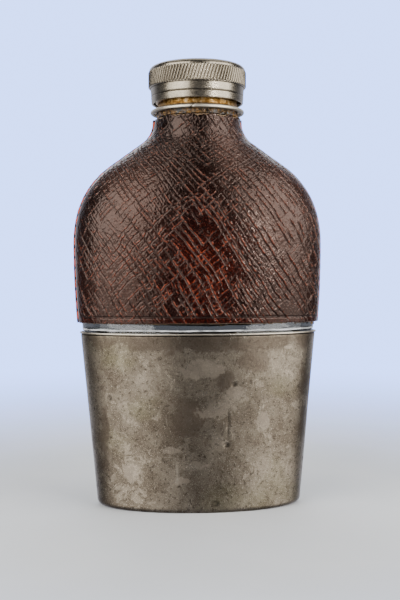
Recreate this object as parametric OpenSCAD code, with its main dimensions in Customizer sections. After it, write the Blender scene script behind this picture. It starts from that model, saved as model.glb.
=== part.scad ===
// Leather-covered glass hip flask with a slip-on drinking cup and a screw cap.
// The glass bottle drops into an oval metal cup. A stitched leather cover wraps the glass above the
// cup, and a threaded collar cemented round the glass neck carries a knurled cap with a cork seal.
// Frame: origin at the centre of the cup's underside, +Z up, X across the width, Y through the depth.

/* [Cup] */
// Half width of the cup's outside where its wall meets the table
cup_a = 30.5; // [30:0.1:31]
// Height of the cup, from the table to its lip
cup_h = 52; // [50:0.1:52.5]
// How far the cup's side leans out, in degrees
cup_lean = 5.45; // [5.2:0.05:5.6]
// Thickness of the cup's sheet metal
cup_t = 0.6; // [0.4:0.05:0.7]
// Depth of the oval as a share of its width
oval = 0.477; // [0.45:0.001:0.5]
// Radius of the turned-in corner at the cup's foot
cup_corner = 2; // [1.5:0.1:2.5]

/* [Glass bottle] */
// Half width of the glass at its widest, under the leather
glass_a = 36.05; // [35.6:0.05:36.5]
// Height of the widest point
widest_z = 78.5; // [77:0.1:80]
// Thickness of the glass wall
glass_t = 3; // [2:0.1:3.5]
// Thickness of the glass floor
glass_floor = 5; // [3:0.1:7]
// Radius of the glass neck inside the collar
neck_r = 10.3; // [9.8:0.05:10.5]
// Radius of the mouth's bore
bore_r = 7.5; // [6:0.1:8]
// Gap between the glass and the inside of the cup
cup_gap = 0.3; // [0.2:0.05:0.5]

/* [Leather cover] */
// Thickness of the leather
leather_t = 0.95; // [0.8:0.05:1]
// Thickness of the lining between the leather and the glass
lining_t = 0.3; // [0.2:0.05:0.35]
// Height of the cover's lower edge
cover_bottom = 55; // [54.5:0.1:57]
// Width of the seam's channel between the front and back leather
seam_gap = 0.7; // [0.6:0.05:0.9]
// Distance from one stitch to the next, eight to the inch
stitch_pitch = 3.175; // [2.5:0.005:4]
// Thickness of the sewing thread
thread_d = 0.55; // [0.4:0.05:0.6]

/* [Collar] */
// Height of the collar's lip, which the cork seals on
collar_top = 127.1; // [126.5:0.1:127.5]
// Outer radius of the collar's sleeve between the threads
collar_r = 11.95; // [11.85:0.05:12]
// Thickness of the collar's sheet metal
collar_t = 0.5; // [0.4:0.05:0.55]
// Centre line radius of the bead wire round the collar's foot
bead_ring_r = 13.55; // [13.4:0.05:13.7]
// Radius of the bead wire
bead_r = 0.62; // [0.5:0.02:0.65]

/* [Screw thread] */
// Rise of the thread in one turn
pitch = 3; // [2.8:0.1:3.2]
// Outer radius of the collar's thread
male_crest_r = 12.7; // [12.6:0.05:12.8]
// Inner radius of the cap's thread
female_crest_r = 12.25; // [12.2:0.05:12.35]

/* [Cap] */
// Radius of the cap over its knurling
knurl_r = 14.8; // [14.7:0.05:15]
// Height of the knurled band
knurl_h = 5.1; // [4.5:0.1:5.2]
// Number of ridges round the knurled band
knurl_count = 96; // [60:4:120]
// How far the ridges lean, in degrees round the cap
knurl_twist = 6.3; // [0:0.1:12]
// Height of the centre of the cap's domed top
overall_h = 132.2; // [132:0.1:132.6]
// Height of the cap's lower edge
skirt_bottom = 120.3; // [120:0.1:121]

/* [Hidden] */
$fn = 64;

pewter = "#8d867a";
nickel = "#a39c8b";
glass_tint = "#c9d2cf";
leather_brown = "#3a1d17";
skiver_tan = "#9a7a52";
thread_red = "#a5341f";
cement_brown = "#7a5426";
cork_tan = "#b98a58";

// The oval is drawn with this many steps all the way round.
round_steps = 56;
lean = tan(cup_lean);
fit = 0.02;
cut = 1;

// ---- Outlines ----

// Points on an arc about [cx, cz], from angle a0 to a1 in n steps, as [half width, height].
function arc(cx, cz, r, a0, a1, n) =
    [for (i = [0:n]) let (a = a0 + (a1 - a0) * i / n) [cx + r * cos(a), cz + r * sin(a)]];

// A list without its first point, for joining outlines end to end.
function tail(list) = [for (i = [1:len(list) - 1]) list[i]];

// 0 below zero, 1 above one, and smooth in between.
function ease(u) = let (v = max(0, min(1, u))) v * v * (3 - 2 * v);

// Half width of the cup's outside at a height.
function cup_outside(z) = cup_a + lean * z;

// Glass: a tapered foot inside the cup, a ledge over the cup's lip, then the body and its shoulder.
glass_bottom = 1.7;
foot_corner = 3;
ledge_z = cup_h + 0.3;
ledge_r = 0.45;
body_r = 280;
shoulder_1_r = 34.75;
shoulder_1_angle = 12;
shoulder_2_r = 24.25;
flank_angle = 54.5;
flank_l = 12.05;
root_r = 9.25;

// The foot stands one even gap inside the cup's wall.
function glass_foot(z) = cup_outside(z) - cup_t - cup_gap;
function foot_depth(a, z) = cup_outside(z) * oval - (cup_outside(z) - a);
ledge_a = glass_a - body_r + sqrt(pow(body_r, 2) - pow(widest_z - ledge_z - 2 * ledge_r, 2));
c1 = [glass_a - shoulder_1_r, widest_z];
c2 = c1 + (shoulder_1_r - shoulder_2_r) * [cos(shoulder_1_angle), sin(shoulder_1_angle)];
flank_start = c2 + shoulder_2_r * [cos(flank_angle), sin(flank_angle)];
flank_end = flank_start + flank_l * [-sin(flank_angle), cos(flank_angle)];
c3 = flank_end + root_r * [cos(flank_angle), sin(flank_angle)];
neck_foot_r = c3[0] - root_r;
neck_foot_z = c3[1];

foot_outline = concat(
    arc(glass_foot(glass_bottom + foot_corner) - foot_corner, glass_bottom + foot_corner, foot_corner,
        -90, 0, 4),
    [[glass_foot(ledge_z), ledge_z]]);
body_outline = concat(
    arc(ledge_a - ledge_r, ledge_z + ledge_r, ledge_r, -60, 0, 3),
    tail(arc(glass_a - body_r, widest_z, body_r, asin((ledge_z + 2 * ledge_r - widest_z) / body_r), 0, 4)),
    tail(arc(c1[0], c1[1], shoulder_1_r, 0, shoulder_1_angle, 2)),
    tail(arc(c2[0], c2[1], shoulder_2_r, shoulder_1_angle, flank_angle, 6)),
    [(flank_start + flank_end) / 2],
    arc(c3[0], c3[1], root_r, 180 + flank_angle, 180, 4));

// Half depth of the glass where its half width is a, at height z: an oval that turns round at the neck.
depth_start_z = 84;
function half_depth(a, z) =
    z < widest_z ? a * oval
    : let (full = glass_a * oval, u = ease((z - depth_start_z) / (neck_foot_z - depth_start_z)))
      full + (neck_foot_r - full) * u;

// Stations are [half width, half depth, height].
function stations(outline) = [for (p = outline) [p[0], half_depth(p[0], p[1]), p[1]]];
foot_stations = [for (p = foot_outline) [p[0], foot_depth(p[0], p[1]), p[1]]];
body_stations = stations(body_outline);

// ---- Skins over the glass ----

// The direction in which the stations climb at station i.
function climb(list, i) = list[min(i + 1, len(list) - 1)] - list[max(i - 1, 0)];

// A point on the surface through the stations, at angle t, moved out by d along the surface's normal.
function skin(list, i, t, d) =
    let (s = list[i], g = climb(list, i),
         n = [s[1] * g[2] * cos(t), s[0] * g[2] * sin(t),
              -(s[0] * g[1] * pow(sin(t), 2) + s[1] * g[0] * pow(cos(t), 2))])
    [s[0] * cos(t), s[1] * sin(t), s[2]] + d * n / norm(n);

function oval_ring(s) =
    [for (j = [0:round_steps - 1]) let (t = 360 * j / round_steps) [s[0] * cos(t), s[1] * sin(t), s[2]]];

function flat(lists) = [for (l = lists) each l];

// Triangles between m rings of n points each.
function band_faces(m, n) =
    [for (i = [0:m - 2], j = [0:n - 1])
        let (k = (j + 1) % n, a = i * n + j, b = i * n + k, c = (i + 1) * n + j, d = (i + 1) * n + k)
        each [[a, c, d], [a, d, b]]];

// Closed solid through planar oval rings, lowest first.
module stack(rings) {
    m = len(rings);
    n = len(rings[0]);
    polyhedron(points = flat(rings),
        faces = concat(band_faces(m, n),
            [[for (j = [0:n - 1]) j]],
            [[for (j = [n - 1:-1:0]) (m - 1) * n + j]]));
}

// Ring-shaped solid, such as a wall: every section is one closed loop of points.
module turned_loop(sections) {
    m = len(sections);
    n = len(sections[0]);
    polyhedron(points = flat(sections),
        faces = [for (i = [0:m - 1], j = [0:n - 1])
            let (k = (j + 1) % n, i2 = (i + 1) % m,
                 a = i * n + j, b = i * n + k, c = i2 * n + j, d = i2 * n + k)
            each [[a, d, c], [a, b, d]]]);
}

// The stations of the glass that the cover lies on, starting at its lower edge and ending at its top.
cover_end_z = 115.9;
function cover_station(a, z) = [a, half_depth(a, z), z];
cover_start = cover_station(
    glass_a - body_r + sqrt(pow(body_r, 2) - pow(widest_z - cover_bottom, 2)), cover_bottom);
cover_stations = concat(
    [cover_start],
    [for (s = body_stations) if (s[2] > cover_bottom + 1) s],
    [cover_station(neck_foot_r, cover_end_z)]);

// A skin over one face of the glass, from d_in to d_out above it. side is -1 for the front and 1 for the back.
panel_steps = round_steps / 2;
module panel(side, d_in, d_out) {
    m = len(cover_stations);
    n = panel_steps + 1;
    // The skin's points stand over the glass's own, and it stops at half the seam's width from the plane
    // between front and back.
    function angle(i, j) =
        let (edge = asin(seam_gap / 2 / (cover_stations[i][1] + d_out)),
             u = min(180 - edge, max(edge, 180 * j / panel_steps)))
        side < 0 ? 180 + u : u;
    function layer(i, d, order) = [for (j = order) skin(cover_stations, i, angle(i, j), d)];
    sections = [for (i = [0:m - 1]) concat(
        layer(i, d_out, [0:panel_steps]), layer(i, d_in, [panel_steps:-1:0]))];
    polyhedron(points = flat(sections),
        faces = concat(band_faces(m, 2 * n),
            [for (j = [0:n - 2]) each strip(0, j, n, 1)],
            [for (j = [0:n - 2]) each strip((m - 1) * 2 * n, j, n, -1)]));
}

// Two triangles that close an end of a panel between its outer point j and the inner one below it.
function strip(base, j, n, way) =
    let (a = base + j, b = base + j + 1, c = base + 2 * n - 2 - j, d = base + 2 * n - 1 - j)
    way > 0 ? [[a, b, c], [a, c, d]] : [[a, c, b], [a, d, c]];

// ---- Cup ----

// The cup's oval sections. The inside is a slightly slimmer oval, so the sheet is equally thick all round.
rim_h = 0.7;
rim_out = 0.3;
lip_z = cup_h - rim_h;
floor_a = cup_outside(cup_corner) - cup_corner;
mid_a = cup_outside(cup_h / 2);
inner_oval = (mid_a * oval - cup_t) / (mid_a - cup_t);

cup_steps = 96;
floor_edge = floor_a - 0.05;

// Points of an outline given as [half width, height], with the half depth put in between.
function with_depth(ratio, outline) = [for (p = outline) [p[0], p[0] * ratio, p[1]]];

// A wall that goes round the oval, from its closed outline of [half width, half depth, height].
module oval_wall(outline) {
    turned_loop([for (j = [0:cup_steps - 1]) let (t = 360 * j / cup_steps)
        [for (p = outline) [p[0] * cos(t), p[1] * sin(t), p[2]]]]);
}

module cup_wall() {
    outside = concat(arc(floor_a, cup_corner, cup_corner, -90, 0, 5), [[cup_outside(lip_z), lip_z]]);
    inside = concat([[cup_outside(lip_z) - cup_t, lip_z]],
        arc(floor_a, cup_corner, cup_corner - cup_t, 0, -90, 4), [[floor_edge, cup_t], [floor_edge, 0]]);
    color(pewter) oval_wall(concat(with_depth(oval, outside), with_depth(inner_oval, inside)));
}

module cup_base() {
    edge = floor_edge - fit;
    color(pewter)
        linear_extrude(cup_t)
            polygon([for (j = [0:cup_steps - 1]) let (t = 360 * j / cup_steps)
                edge * [cos(t), inner_oval * sin(t)]]);
}

module cup_rim_wire() {
    outer = cup_outside(lip_z) + rim_out;
    ratio = (cup_outside(lip_z) * oval + rim_out) / outer;
    inner = cup_outside(lip_z) - cup_t;
    round = 0.2;
    outside = [[outer - round, fit], [outer, round], [outer, rim_h - round], [outer - round, rim_h]];
    color(pewter) translate([0, 0, lip_z])
        oval_wall(concat(with_depth(ratio, outside),
            with_depth(inner_oval, [[inner, rim_h], [inner, fit]])));
}

// ---- Bottle ----

glass_top = collar_top - collar_t;
bore_start_z = 104;

module glass_bottle() {
    outer = [for (s = concat(foot_stations, body_stations)) oval_ring(s)];
    neck_base = oval_ring([neck_foot_r, neck_foot_r, cover_end_z]);
    // The hollow follows the outside, one wall in, and stops under the neck's bore.
    hollow_floor = glass_bottom + glass_floor;
    hollow_corner = 4;
    low = glass_foot(hollow_floor) - glass_t;
    foot_hollow = [for (p = arc(low - hollow_corner, hollow_floor + hollow_corner, hollow_corner, -90, 0, 3))
        [p[0], foot_depth(p[0], hollow_floor), p[1]]];
    body_hollow = [for (i = [0:len(body_stations) - 1])
        let (s = body_stations[i], g = climb(body_stations, i), w = glass_t / norm([g[0], g[2]]))
        if (s[2] > ledge_z + 2 && s[2] < neck_foot_z - 5)
            [s[0] - w * g[2], s[1] - glass_t, s[2] + w * g[0]]];
    color(glass_tint, 0.5)
        difference() {
            union() {
                stack(concat(outer, [neck_base]));
                translate([0, 0, cover_end_z - cut]) cylinder(r = neck_r, h = glass_top - cover_end_z + cut);
            }
            stack([for (s = concat(foot_hollow, body_hollow)) oval_ring(s)]);
            translate([0, 0, bore_start_z]) cylinder(r = bore_r, h = glass_top - bore_start_z + cut);
        }
}

// ---- Cover ----

module lining(side) {
    color(skiver_tan) panel(side, 2 * fit, lining_t);
}

module leather(side) {
    color(leather_brown) panel(side, lining_t + fit, lining_t + leather_t);
}

// The stitches bridge the channel and stand a little proud of the leather.
stitch_lift = 0.15;

// The stitches' line, in the plane between front and back, as [x, z] points.
seam_line = [for (i = [0:len(cover_stations) - 1])
    let (p = skin(cover_stations, i, 0, lining_t + leather_t + stitch_lift)) [p[0], p[2]]];

function line_length(line, i = 0) =
    i >= len(line) - 1 ? 0 : norm(line[i + 1] - line[i]) + line_length(line, i + 1);

// [point, angle] at distance s along a line.
function along(line, s, i = 0) =
    let (step = line[i + 1] - line[i], l = norm(step))
    s <= l || i >= len(line) - 2 ? [line[i] + step * s / l, atan2(step[1], step[0])]
    : along(line, s - l, i + 1);

stitch_l = 2.1;
stitch_margin = 2;

module stitch() {
    r = thread_d / 2;
    rotate_extrude($fn = 24)
        polygon([[0, -stitch_l / 2], [0.7 * r, 0.15 - stitch_l / 2], [r, 0.45 - stitch_l / 2],
                 [r, stitch_l / 2 - 0.45], [0.7 * r, stitch_l / 2 - 0.15], [0, stitch_l / 2]]);
}

module seam_stitches(side) {
    count = floor((line_length(seam_line) - 2 * stitch_margin) / stitch_pitch);
    color(thread_red)
        for (k = [0:count]) {
            at = along(seam_line, stitch_margin + k * stitch_pitch);
            mirror([side < 0 ? 1 : 0, 0, 0])
                translate([at[0][0], 0, at[0][1]]) rotate([0, 90 - at[1], 0]) stitch();
        }
}

// ---- Neck ----

module neck_cement() {
    r = collar_r - collar_t - fit;
    color(cement_brown)
        rotate_extrude()
            polygon([[neck_r + fit, cover_end_z + fit], [12.3, cover_end_z + fit], [12.5, 117.4],
                     [r, 118.5], [r, glass_top - fit], [neck_r + fit, glass_top - fit]]);
}

flare_top_z = 118.9;
flare_end_z = 118.1;
flare_end_r = 12.9;
lip_r = bore_r + 0.2;

module neck_collar() {
    color(nickel) {
        rotate_extrude()
            polygon([[lip_r, glass_top], [collar_r - collar_t, glass_top],
                     [collar_r - collar_t, flare_top_z - 0.15], [flare_end_r - 0.3, flare_end_z - 0.4],
                     [flare_end_r, flare_end_z], [collar_r, flare_top_z], [collar_r, collar_top - 0.2],
                     [collar_r - 0.2, collar_top], [lip_r, collar_top]]);
        ridge(collar_r, male_crest_r, male_start_z, male_turns);
    }
}

module collar_bead() {
    color(nickel)
        translate([0, 0, flare_end_z - 0.35])
            rotate_extrude() translate([bead_ring_r, 0]) circle(r = bead_r);
}

// ---- Screw thread ----

male_start_z = 119.6;
male_turns = 2.1;
female_start_z = 121.35;
female_turns = 1.6;
ridge_root_w = 1.5;
ridge_crest_w = 0.5;
turn_steps = 28;
runout = 0.2;
bite = 0.1;

// A right-hand helical ridge that fades out at both ends. It faces inwards if crest is under root.
module ridge(root, crest, z0, turns) {
    n = ceil(turns * turn_steps);
    way = crest > root ? 1 : -1;
    function fade(u) = max(0.12, min(1, u * turns / runout, (1 - u) * turns / runout));
    points = [for (k = [0:n])
        let (u = k / n, a = 360 * turns * u, z = z0 + pitch * turns * u, f = fade(u),
             inner = root - way * bite, outer = root + (crest - root) * f,
             w = ridge_root_w / 2, c = ridge_root_w / 2 + (ridge_crest_w - ridge_root_w) / 2 * f)
        each [for (p = [[inner, -w], [outer, -c], [outer, c], [inner, w]])
            [p[0] * cos(a), p[0] * sin(a), z + p[1]]]];
    sides = [for (k = [0:n - 1], j = [0:3])
        let (a = 4 * k + j, b = 4 * k + (j + 1) % 4)
        each [[a, b, b + 4], [a, b + 4, a + 4]]];
    ends = [[0, 3, 2], [0, 2, 1], [4 * n, 4 * n + 1, 4 * n + 2], [4 * n, 4 * n + 2, 4 * n + 3]];
    faces = concat(sides, ends);
    polyhedron(points = points,
        faces = way > 0 ? faces : [for (f = faces) [f[0], f[2], f[1]]]);
}

// ---- Cap ----

cork_t = 2.6;
cork_bottom = collar_top + fit;
plate_t = 0.4;
plate_bottom = cork_bottom + cork_t + fit;
sleeve_top = plate_bottom + plate_t + fit;
sleeve_r = 14.15;
sleeve_foot_r = 13.85;
sleeve_bore_r = 13.2;
knurl_bottom = 125;
knurl_depth = 0.25;
crown_side_r = knurl_r - knurl_depth;
ceiling_z = sleeve_top + fit;
groove_z = 122.5;
groove_d = 0.25;

module cork_seal() {
    color(cork_tan)
        translate([0, 0, cork_bottom]) cylinder(r = sleeve_bore_r - 0.2, h = cork_t);
}

module cap_seal_plate() {
    color(nickel)
        translate([0, 0, plate_bottom]) cylinder(r = sleeve_bore_r - 0.1, h = plate_t);
}

module cap_sleeve() {
    groove_r = sleeve_foot_r + (sleeve_r - sleeve_foot_r) * (groove_z - skirt_bottom)
        / (knurl_bottom - skirt_bottom);
    color(nickel) {
        rotate_extrude()
            polygon([[sleeve_bore_r, skirt_bottom], [sleeve_foot_r - 0.2, skirt_bottom],
                     [sleeve_foot_r, skirt_bottom + 0.25], [groove_r, groove_z - 0.2],
                     [groove_r - groove_d, groove_z], [groove_r, groove_z + 0.2],
                     [sleeve_r, knurl_bottom], [sleeve_r, sleeve_top], [sleeve_bore_r, sleeve_top]]);
        ridge(sleeve_bore_r, female_crest_r, female_start_z, female_turns);
    }
}

module cap_crown() {
    shoulder_r = 2.1;
    rise = 0.75;
    shoulder_z = knurl_bottom + knurl_h;
    dome_edge_r = crown_side_r - shoulder_r + shoulder_r * cos(80);
    dome_edge_z = shoulder_z + shoulder_r * sin(80) * rise;
    dome = [for (i = [0:5]) let (u = i / 5)
        [dome_edge_r * (1 - u), dome_edge_z + (overall_h - dome_edge_z) * (1 - pow(1 - u, 2))]];
    shoulder = [for (i = [0:5]) let (a = 80 * i / 5)
        [crown_side_r - shoulder_r + shoulder_r * cos(a), shoulder_z + shoulder_r * sin(a) * rise]];
    color(nickel)
        union() {
            rotate_extrude()
                polygon(concat([[0, ceiling_z], [sleeve_r + fit, ceiling_z], [sleeve_r + fit, knurl_bottom],
                                [crown_side_r, knurl_bottom]], shoulder, tail(dome)));
            knurled_band();
        }
}

// Slanting ridges in relief, from knurl_depth under the cap's radius to the full radius.
module knurled_band() {
    step = 360 / knurl_count;
    translate([0, 0, knurl_bottom + 0.15])
        difference() {
            linear_extrude(height = knurl_h - 0.3, twist = -knurl_twist, slices = 3)
                polygon([for (k = [0:knurl_count - 1]) each [
                    (crown_side_r + 0.02) * [cos(k * step), sin(k * step)],
                    knurl_r * [cos((k + 0.5) * step), sin((k + 0.5) * step)]]]);
            translate([0, 0, -cut]) cylinder(r = crown_side_r - 0.2, h = knurl_h + 2 * cut);
        }
}

cup_wall();
cup_base();
cup_rim_wire();
glass_bottle();
lining(-1);  // lining_front
lining(1);  // lining_back
leather(-1);  // leather_front
leather(1);  // leather_back
seam_stitches(-1);  // seam_stitches_left
seam_stitches(1);  // seam_stitches_right
neck_cement();
neck_collar();
collar_bead();
cork_seal();
cap_seal_plate();
cap_sleeve();
cap_crown();
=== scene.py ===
"""The looks of a leather-covered glass hip flask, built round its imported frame.

Shapes are worked out in millimetres, in the frame's own axes, and turned into metres
when a mesh is made. The front face looks towards -Y.
"""

import math

import bpy
import numpy as np
from mathutils import Matrix, Vector


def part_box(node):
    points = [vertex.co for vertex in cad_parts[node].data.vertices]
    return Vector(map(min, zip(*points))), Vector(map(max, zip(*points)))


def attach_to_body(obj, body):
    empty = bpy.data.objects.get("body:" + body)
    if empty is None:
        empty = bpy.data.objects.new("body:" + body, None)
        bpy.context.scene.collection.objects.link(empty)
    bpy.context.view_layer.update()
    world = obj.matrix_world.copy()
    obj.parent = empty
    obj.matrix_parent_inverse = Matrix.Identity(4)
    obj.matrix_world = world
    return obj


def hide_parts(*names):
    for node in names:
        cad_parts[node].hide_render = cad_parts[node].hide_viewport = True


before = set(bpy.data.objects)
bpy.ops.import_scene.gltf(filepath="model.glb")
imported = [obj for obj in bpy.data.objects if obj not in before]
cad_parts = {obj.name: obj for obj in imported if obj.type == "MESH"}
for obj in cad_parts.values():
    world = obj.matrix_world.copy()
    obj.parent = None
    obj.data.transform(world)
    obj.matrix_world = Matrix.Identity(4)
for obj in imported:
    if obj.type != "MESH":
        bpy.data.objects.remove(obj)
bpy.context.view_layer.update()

MM = 0.001
TAU = 2 * math.pi


def attach(piece, body, node=None):
    """The piece rides on a body, and may stand for a CAD node, which is then hidden."""
    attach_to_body(piece, body)
    if node:
        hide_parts(node)


def node_box(name):
    """A CAD node's lowest and highest corners, in millimetres."""
    low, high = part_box(name)
    return np.array(low) / MM, np.array(high) / MM


# ---- Noise ----

def hash01(ix, iy, iz, seed):
    """A repeatable number from 0 to 1 for each lattice point."""
    ix, iy, iz = (np.asarray(v).astype(np.int64) for v in (ix, iy, iz))
    h = (ix * 374761393 + iy * 668265263 + iz * 1440662683 + seed * 1274126177) & 0xFFFFFFFF
    h = ((h ^ (h >> 13)) * 1274126177) & 0xFFFFFFFF
    h = ((h ^ (h >> 16)) * 2246822519) & 0xFFFFFFFF
    return ((h ^ (h >> 15)) & 0xFFFFFF) / float(0xFFFFFF)


def noise(x, y, z=0.0, seed=1):
    """Smooth noise from -1 to 1."""
    x, y, z = np.broadcast_arrays(np.asarray(x, float), np.asarray(y, float), np.asarray(z, float))
    ix, iy, iz = np.floor(x), np.floor(y), np.floor(z)
    fx, fy, fz = x - ix, y - iy, z - iz
    ux, uy, uz = (f * f * (3 - 2 * f) for f in (fx, fy, fz))
    total = 0.0
    for dx in (0, 1):
        wx = ux if dx else 1 - ux
        for dy in (0, 1):
            wy = uy if dy else 1 - uy
            for dz in (0, 1):
                wz = uz if dz else 1 - uz
                total = total + wx * wy * wz * hash01(ix + dx, iy + dy, iz + dz, seed)
    return total * 2 - 1


def fbm(x, y, z=0.0, seed=1, octaves=3):
    """Noise with finer and weaker noise on it."""
    total, size, top = 0.0, 1.0, 0.0
    for k in range(octaves):
        f = 2.0 ** k
        total = total + size * noise(x * f, y * f, np.asarray(z) * f, seed + 17 * k)
        top += size
        size *= 0.5
    return total / top


def cells(x, y, seed, jitter=0.85):
    """Cells round scattered points: distance to the nearest point, distance to the cell's edge,
    and a random number for the cell."""
    ix, iy = np.floor(x), np.floor(y)

    def point(jx, jy):
        return (jx + 0.5 + jitter * (hash01(jx, jy, 0, seed) - 0.5),
                jy + 0.5 + jitter * (hash01(jx, jy, 1, seed) - 0.5))

    best = np.full(x.shape, 1e9)
    bx, by, bid = np.zeros(x.shape), np.zeros(x.shape), np.zeros(x.shape)
    for dx in (-1, 0, 1):
        for dy in (-1, 0, 1):
            jx, jy = ix + dx, iy + dy
            px, py = point(jx, jy)
            d = (px - x) ** 2 + (py - y) ** 2
            near = d < best
            best = np.where(near, d, best)
            bx, by = np.where(near, px, bx), np.where(near, py, by)
            bid = np.where(near, hash01(jx, jy, 2, seed), bid)
    edge = np.full(x.shape, 1e9)
    for dx in (-2, -1, 0, 1, 2):
        for dy in (-2, -1, 0, 1, 2):
            px, py = point(ix + dx, iy + dy)
            gx, gy = px - bx, py - by
            gap = np.sqrt(gx * gx + gy * gy)
            far = gap > 1e-6
            d = ((px + bx) / 2 - x) * gx + ((py + by) / 2 - y) * gy
            edge = np.where(far, np.minimum(edge, d / np.maximum(gap, 1e-6)), edge)
    return np.sqrt(best), edge, bid


def ease(u):
    u = np.clip(u, 0, 1)
    return u * u * (3 - 2 * u)


def step(low, high, x):
    return ease((x - low) / (high - low))


def bump(x, y, cx, cy, rx, ry):
    """1 at [cx, cy], fading out over rx and ry."""
    return np.exp(-((x - cx) / rx) ** 2 - ((y - cy) / ry) ** 2)


def patches(x, y, *spots):
    """Soft patches added up, each [how much, x, y, radius along x, radius along y]."""
    return sum(much * bump(x, y, *spot) for much, *spot in spots)


# ---- Meshes ----

def signed_volume(points, polys):
    total = 0.0
    for group in polys:
        g = np.asarray(group)
        for k in range(1, g.shape[1] - 1):
            a, b, c = points[g[:, 0]], points[g[:, k]], points[g[:, k + 1]]
            total += np.einsum("ij,ij->i", a, np.cross(b, c)).sum()
    return total / 6


def make(name, points, polys, material, flat=(), attributes=None, closed=True):
    """A mesh object from points in millimetres and groups of faces, turned so that they face out.
    Groups whose number is in flat are shaded flat."""
    points = np.asarray(points, float)
    polys = [np.asarray(g, np.int64) for g in polys if len(g)]
    if closed and signed_volume(points, polys) < 0:
        polys = [g[:, ::-1] for g in polys]
    mesh = bpy.data.meshes.new(name)
    mesh.vertices.add(len(points))
    mesh.vertices.foreach_set("co", (points * MM).ravel())
    totals = np.concatenate([np.full(len(g), g.shape[1]) for g in polys])
    index = np.concatenate([g.ravel() for g in polys])
    starts = np.concatenate([[0], np.cumsum(totals)[:-1]])
    mesh.loops.add(len(index))
    mesh.loops.foreach_set("vertex_index", index.astype(np.int32))
    mesh.polygons.add(len(totals))
    mesh.polygons.foreach_set("loop_start", starts.astype(np.int32))
    mesh.polygons.foreach_set("loop_total", totals.astype(np.int32))
    smooth = np.concatenate([np.full(len(g), k not in flat) for k, g in enumerate(polys)])
    mesh.polygons.foreach_set("use_smooth", smooth)
    mesh.update(calc_edges=True)
    mesh.validate()
    for key, values in (attributes or {}).items():
        mesh.attributes.new(key, "FLOAT", "POINT").data.foreach_set(
            "value", np.asarray(values, np.float32).ravel())
    mesh.materials.append(material)
    piece = bpy.data.objects.new(name, mesh)
    bpy.context.scene.collection.objects.link(piece)
    return piece


def ring_faces(m, n, loop=False):
    """Faces between m rings of n points, closed into a tube's wall if loop is true."""
    i = np.arange(m if loop else m - 1)[:, None]
    j = np.arange(n)[None, :]
    i2, k = (i + 1) % m, (j + 1) % n
    i, i2, j, k = np.broadcast_arrays(i, i2, j, k)
    return np.stack([i * n + j, i * n + k, i2 * n + k, i2 * n + j], -1).reshape(-1, 4)


def turned(rings, loop):
    """Points and faces of a turned solid. rings is [station, angle, xyz]. Without loop, the first and
    last ring are closed to a point at their middle."""
    m, n, _ = rings.shape
    points = rings.reshape(-1, 3)
    if loop:
        return points, [ring_faces(m, n, True)]
    j = np.arange(n)
    k = (j + 1) % n
    low, high = len(points), len(points) + 1
    points = np.vstack([points, rings[0].mean(0), rings[-1].mean(0)])
    first = np.stack([k, j, np.full(n, low)], -1)
    last = np.stack([(m - 1) * n + j, (m - 1) * n + k, np.full(n, high)], -1)
    return points, [ring_faces(m, n), first, last]


def angles(n):
    """n angles evenly round a circle, from 0."""
    return np.arange(n) / n * TAU


def oval_rings(outline, n):
    """Rings from [half width, half depth, height] points."""
    t = angles(n)
    o = np.asarray(outline, float)
    return np.stack([o[:, :1] * np.cos(t), o[:, 1:2] * np.sin(t), np.repeat(o[:, 2:3], n, 1)], -1)


def oval(outline, ratio, n):
    """Rings from [half width, height] points, ratio times as deep as they are wide."""
    return oval_rings([[a, a * ratio, z] for a, z in outline], n)


def round_rings(outline, n):
    """Rings from [radius, height] points."""
    return oval_rings([[r, r, z] for r, z in outline], n)


def parts(rings):
    """The rings' x, y and z, as views that change with them."""
    return np.moveaxis(rings, -1, 0)


def widen(rings, factor):
    """Moves the rings' points away from the axis by a factor."""
    rings[..., :2] *= factor[..., None]


def gather(solids):
    """The points and faces of several closed solids, as one."""
    points, groups, offset = [], [[], [], []], 0
    for pts, faces in solids:
        points.append(pts)
        for group, face in zip(groups, faces):
            group.append(face + offset)
        offset += len(pts)
    return np.vstack(points), [np.vstack(g) for g in groups]


def arc(cx, cz, r, a0, a1, n):
    a = np.radians(np.linspace(a0, a1, n + 1))
    return np.stack([cx + r * np.cos(a), cz + r * np.sin(a)], -1)


def line(p, q, n):
    u = np.linspace(0, 1, n + 1)[:, None]
    return np.asarray(p) * (1 - u) + np.asarray(q) * u


def join(*pieces):
    """Outlines end to end, without doubled points."""
    whole = np.vstack([np.atleast_2d(p) for p in pieces])
    gap = np.linalg.norm(np.diff(whole, axis=0), axis=1)
    return whole[np.concatenate([[True], gap > 1e-5])]


def add(name, body, slot, node, material, points, faces, marks=None):
    """A solid with marks for its material, made and attached."""
    attach(make(name, points, faces, material, attributes=marks), body, node)


# ---- Materials ----

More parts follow.
